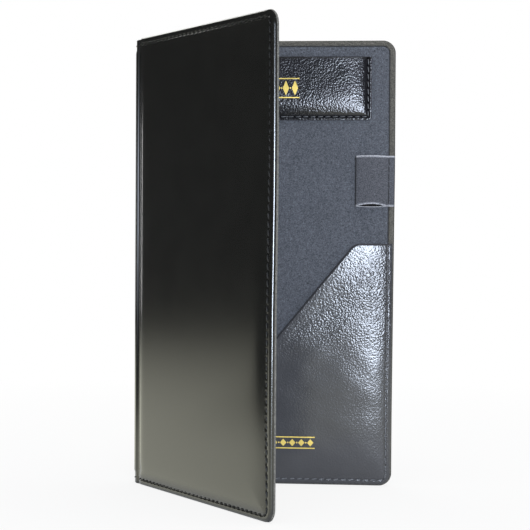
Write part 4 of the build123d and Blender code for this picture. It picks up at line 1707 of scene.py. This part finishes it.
@dataclass(frozen=True)
class Studio:
    """Camera, lamps, surroundings and floor."""

    eye: tuple[float, float, float] = (0.07580, -0.81553, 0.14278)
    yaw: float = -4.918
    pitch: float = 1.113
    roll: float = 0.347
    lens: float = 104.1
    floor_radius: float = 2.0
    soft_light: Colour = (0.55, 0.57, 0.6)
    dim_room: Colour = (0.03, 0.03, 0.03)
    table: Colour = (1.0, 1.0, 0.84)
    front_outward: tuple[float, float, float] = (-0.7986, -0.6018, 0.0)
    corner_ahead: tuple[float, float, float] = (-0.292, -0.956, 0.0)

    def camera(self) -> None:
        """Place the camera: forward from yaw and pitch, then rolled about its own axis."""
        data = bpy.data.cameras.new("camera")
        data.sensor_width, data.lens = 36.0, self.lens
        data.clip_start, data.clip_end = 0.01, 20.0
        camera = bpy.data.objects.new("camera", data)
        yaw, pitch, roll = (math.radians(a) for a in (self.yaw, self.pitch, self.roll))
        ahead = np.array([math.sin(yaw) * math.cos(pitch), math.cos(yaw) * math.cos(pitch), -math.sin(pitch)])
        right = np.array([math.cos(yaw), -math.sin(yaw), 0.0])
        up = np.cross(right, ahead)
        right, up = math.cos(roll) * right + math.sin(roll) * up, math.cos(roll) * up - math.sin(roll) * right
        stand(camera, right, up, -ahead, self.eye)
        bpy.context.scene.camera = camera

    def lamp(
        self, name: str, at: tuple[float, float, float], target: tuple[float, float, float],
        size: Point, power: float, colour: Colour, glossy: bool = True,
    ) -> None:
        """Add a rectangular softbox.

        Args:
            name: Its name.
            at: Its place, metres.
            target: The point that it faces.
            size: Width and height, metres.
            power: Watts.
            colour: Its colour.
            glossy: Seen in gloss or not.
        """
        data = bpy.data.lights.new(name, "AREA")
        data.shape, data.size, data.size_y = "RECTANGLE", size[0], size[1]
        data.energy, data.color = power, colour
        lamp = bpy.data.objects.new(name, data)
        lamp.visible_camera, lamp.visible_glossy = False, glossy
        back = unit(np.array(at) - np.array(target))
        side = unit(np.cross(UP, back))
        stand(lamp, side, np.cross(back, side), back, at)

    def surroundings(self) -> None:
        """White to the camera; a dim room to gloss, with the lamps for its lights; soft light to everything else."""
        world = bpy.data.worlds.new("studio")
        bpy.context.scene.world = world
        world.use_nodes = True
        tree = world.node_tree
        tree.nodes.clear()
        path = tree.nodes.new("ShaderNodeLightPath").outputs
        seen = tree.nodes.new("ShaderNodeMath")
        seen.operation = "MAXIMUM"
        tree.links.new(path["Is Camera Ray"], seen.inputs[0])
        tree.links.new(path["Is Transmission Ray"], seen.inputs[1])
        last = self.background(tree, self.soft_light)
        for choice, colour in ((path["Is Glossy Ray"], self.dim_room), (seen.outputs[0], WHITE)):
            mix = tree.nodes.new("ShaderNodeMixShader")
            tree.links.new(choice, mix.inputs[0])
            tree.links.new(last, mix.inputs[1])
            tree.links.new(self.background(tree, colour), mix.inputs[2])
            last = mix.outputs[0]
        tree.links.new(last, tree.nodes.new("ShaderNodeOutputWorld").inputs["Surface"])

    @staticmethod
    def background(tree: bpy.types.NodeTree, colour: Colour) -> Socket:
        """A plain background of strength 1."""
        node = tree.nodes.new("ShaderNodeBackground")
        node.inputs["Color"].default_value = rgba(colour)
        return node.outputs[0]

    def floor(self) -> None:
        """A round pale floor: grid of rings, radius = share of the floor's radius, height zero."""
        rings, spokes = 24, 96
        radius = np.linspace(0.002, self.floor_radius, rings)[:, None]
        angle = np.arange(spokes)[None] / spokes * math.tau
        points = np.stack([radius * np.cos(angle), radius * np.sin(angle), 0 * radius * angle], -1).reshape(-1, 3)
        ids = np.arange(rings * spokes).reshape(rings, spokes)
        faces = np.concatenate([bridge(ids[k], ids[k + 1])[:, ::-1] for k in range(rings - 1)]).tolist()
        mesh = bpy.data.meshes.new("floor")
        mesh.from_pydata(points.tolist(), [], [*faces, ids[0].tolist()])
        floor = bpy.data.objects.new("floor", mesh)
        bpy.context.scene.collection.objects.link(floor)
        mesh.materials.append(self.floor_finish())

    def floor_finish(self) -> Material:
        """Pale paper that stays white to the camera and keeps the soft shadow.

        In gloss it glows like a lit table that darkens towards the room far away, and in one corner ahead and to
        the left. Close to the presenter, except beyond its front cover's outer face, gloss sees the paper itself.
        """
        g = Graph("pale_floor")
        at = g.place(Coordinates.OBJECT)
        speck = g.noise(at, 3.0, 3.0)
        g.finished(Base_Color=g.blend(speck, rgba((0.86, 0.86, 0.85)), rgba((0.9, 0.9, 0.89))), Roughness=0.9)
        far = g.node("VectorMath", {0: at}, operation="LENGTH").outputs["Value"]
        path = g.node("LightPath", {}).outputs
        glossy = path["Is Glossy Ray"]
        seen = g.math("MAXIMUM", path["Is Camera Ray"], path["Is Transmission Ray"])
        share = g.times(seen, g.fused(g.span(far, 0.15, 0.7), 0.15, 0.85))
        aside, ahead, left = (g.dot(at, way) for way in (self.front_outward, self.corner_ahead, (-1.0, 0.0, 0.0)))
        table_edge = g.math("MAXIMUM", g.span(far, 0.10, 0.20), g.span(aside, 0.026, 0.04))
        share = g.math("MAXIMUM", share, g.times(glossy, table_edge))
        sockets = {"Value": far, "From Min": 0.2, "From Max": 1.86}
        fade = g.node("MapRange", sockets, interpolation_type="SMOOTHSTEP").outputs["Result"]
        corner = g.times(g.span(ahead, -0.05, 0.12), g.span(left, 0.03, 0.15))
        fade = g.math("MAXIMUM", fade, g.times(corner, g.span(far, 0.25, 0.5)))
        table = g.blend(fade, rgba(self.table), rgba(self.dim_room))
        glow = g.node("Emission", {"Color": g.blend(glossy, rgba(WHITE), table), "Strength": 1.0})
        mix = g.node("MixShader", {0: share, 1: g.shader.outputs[0], 2: glow.outputs[0]})
        output = next(n for n in g.tree.nodes if n.type == "OUTPUT_MATERIAL")
        g.tree.links.new(mix.outputs[0], output.inputs["Surface"])
        return g.material

    def build(self) -> None:
        """Build the studio."""
        bpy.context.scene.view_settings.view_transform = "Standard"
        self.camera()
        self.surroundings()
        self.floor()
        self.lamp("key_softbox", (0.24, -1.05, 0.15), (0.03, 0.05, 0.14), (0.24, 0.3), 7.9, KEY_COLOUR)
        self.lamp("fill_softbox", (0.24, -1.05, 0.38), (0.03, 0.05, 0.2), (0.24, 0.15), 0.4, KEY_COLOUR)
        self.lamp("top_softbox", (0.1, -0.1, 1.1), (0.0, 0.0, 0.1), (0.9, 0.7), 5.0, (1.0, 0.97, 0.92), False)
        self.lamp("rim_softbox", (-1.094, 1.005, 0.17), (-0.07, 0.05, 0.17), (0.12, 0.28), 0.26, WHITE)
        self.lamp("crest_softbox", (-0.8, 1.28, 1.02), (-0.04, 0.0, 0.25), (0.9, 0.36), 2.3, (1.0, 1.0, 0.95))


# ---- Presenter -------------------------------------------------------------
@dataclass
class Presenter:
    """The whole presenter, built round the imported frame."""

    frame: dict
    finishes: Finishes

    def joint(self, name: str) -> dict:
        """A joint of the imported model."""
        return next(j for j in self.frame["joints"] if j["name"] == name)

    def cover_frame(self, side: str, along: Array, outward: Array, **edge: object) -> CoverFrame:
        """Frame of a cover.

        Args:
            side: Which cover, back or front.
            along: The way that it runs from its crease.
            outward: The way that its outer face looks.
            edge: How its free edge wanders.

        Returns:
            The frame, with the face of its lining AXIS_LEVEL inside the crease's axis.
        """
        crease = np.array(self.joint(f"{side}_crease")["pos_m"], float) * [1, 1, 0]
        return CoverFrame(f"{side}_cover", crease - outward * AXIS_LEVEL * MM, along, outward, **edge)

    def frames(self) -> tuple[CoverFrame, CoverFrame]:
        """The covers' frames, from where their creases stand and how far the front one is from closed."""
        opening = math.radians(max(self.joint("front_crease")["range_deg"]))
        cos, sin = math.cos(opening), math.sin(opening)
        back = self.cover_frame(
            "back", np.array([1.0, 0.0, 0.0]), np.array([0.0, 1.0, 0.0]), bow_from=90.0, lift=-0.1,
            bow=((0.0, -0.35), (40.0, -0.35), (110.0, 0.0), (180.0, 0.5), (254.0, 0.4)),
        )
        front = self.cover_frame(
            "front", np.array([cos, -sin, 0.0]), np.array([-sin, -cos, 0.0]), bow_from=141.0, bow_to=142.4, lift=0.5,
            bow=((0.0, -0.3), (105.0, -0.3), (130.0, 0.2), (160.0, 0.7), (190.0, 0.8), (254.0, 0.3)),
        )
        return back, front

    def build(self) -> None:
        """Build every piece in order."""
        back, front = self.frames()
        near, far, low, high = Cover.hinge, Cover.width - Cover.seam, Cover.seam, Cover.height - Cover.seam
        crown = Swelling(near, near, far, low, high, (26, 46), pinned_left=True, pinned_top=True).simulated()
        covers = (
            Cover("back_cover", back, self.finishes, crown),
            # The front lining's edge carries a painted highlight.
            Cover("front_cover", front, self.finishes, crown, setback=-0.2, rub=0.15, bend=FACET_BEND),
        )
        for cover in covers:
            cover.build_skin()
            cover.build_lining()
        for cover in reversed(covers):
            cover.build_outer_stitches(cover.name.replace("cover", "outer_thread"))
        self.sew_linings(*covers)
        Spine(back, front, self.finishes).build()
        card, pocket = CardPocket(back, self.finishes), SlantedPocket(back, self.finishes)
        card.build()
        pocket.build()
        PenLoop(back, self.finishes).build()
        foils = (
            ("card_pocket_foil", card, (72.0, 226.6), 36.0, 11.5, 7),
            ("slanted_pocket_foil", pocket, (84.5, 24.3), 31.0, 7.0, 6),
        )
        for name, on, *size in foils:
            Ornament(name + "_ornament", name, back, self.finishes.foil, on.rise, *size).build()
        for name, node in self.frame["nodes"].items():
            inner = self.finishes.board if name.endswith("board") else self.finishes.foam
            if not node.hide_render:
                node.data.materials.clear()
                node.data.materials.append(inner)

    def sew_linings(self, back: Cover, front: Cover) -> None:
        """The stitches on the linings: all round in front; at the back where no pocket or loop covers them."""
        near, far, low, high = back.hinge + back.hinge_gap, back.width - back.seam, back.seam, back.height - back.seam
        runs = {
            "_top": [(near, high), (far, high), (far, 188.6)],
            "_side": [(far, 159.1), (far, 138.8)],
            "_bottom": [(near, low), (10.0, low)],
        }
        rows = [(front, "", front.seam_run())]
        rows += [(back, part, rounded_run(corners, back.corner - back.seam)) for part, corners in runs.items()]
        for cover, part, run in rows:
            sew(f"{cover.name}_lining_stitches{part}", cover.name.replace("cover", "lining_thread"), cover.frame, run,
                cover.lining_face, self.finishes.yarn, LINING_STITCH)


def main() -> None:
    """Load the frame, and build the presenter and its studio."""
    logging.basicConfig(level=logging.INFO, format="%(message)s")
    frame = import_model()
    Studio().build()
    Presenter(frame, Finishes.made()).build()


if __name__ == "__main__":
    main()
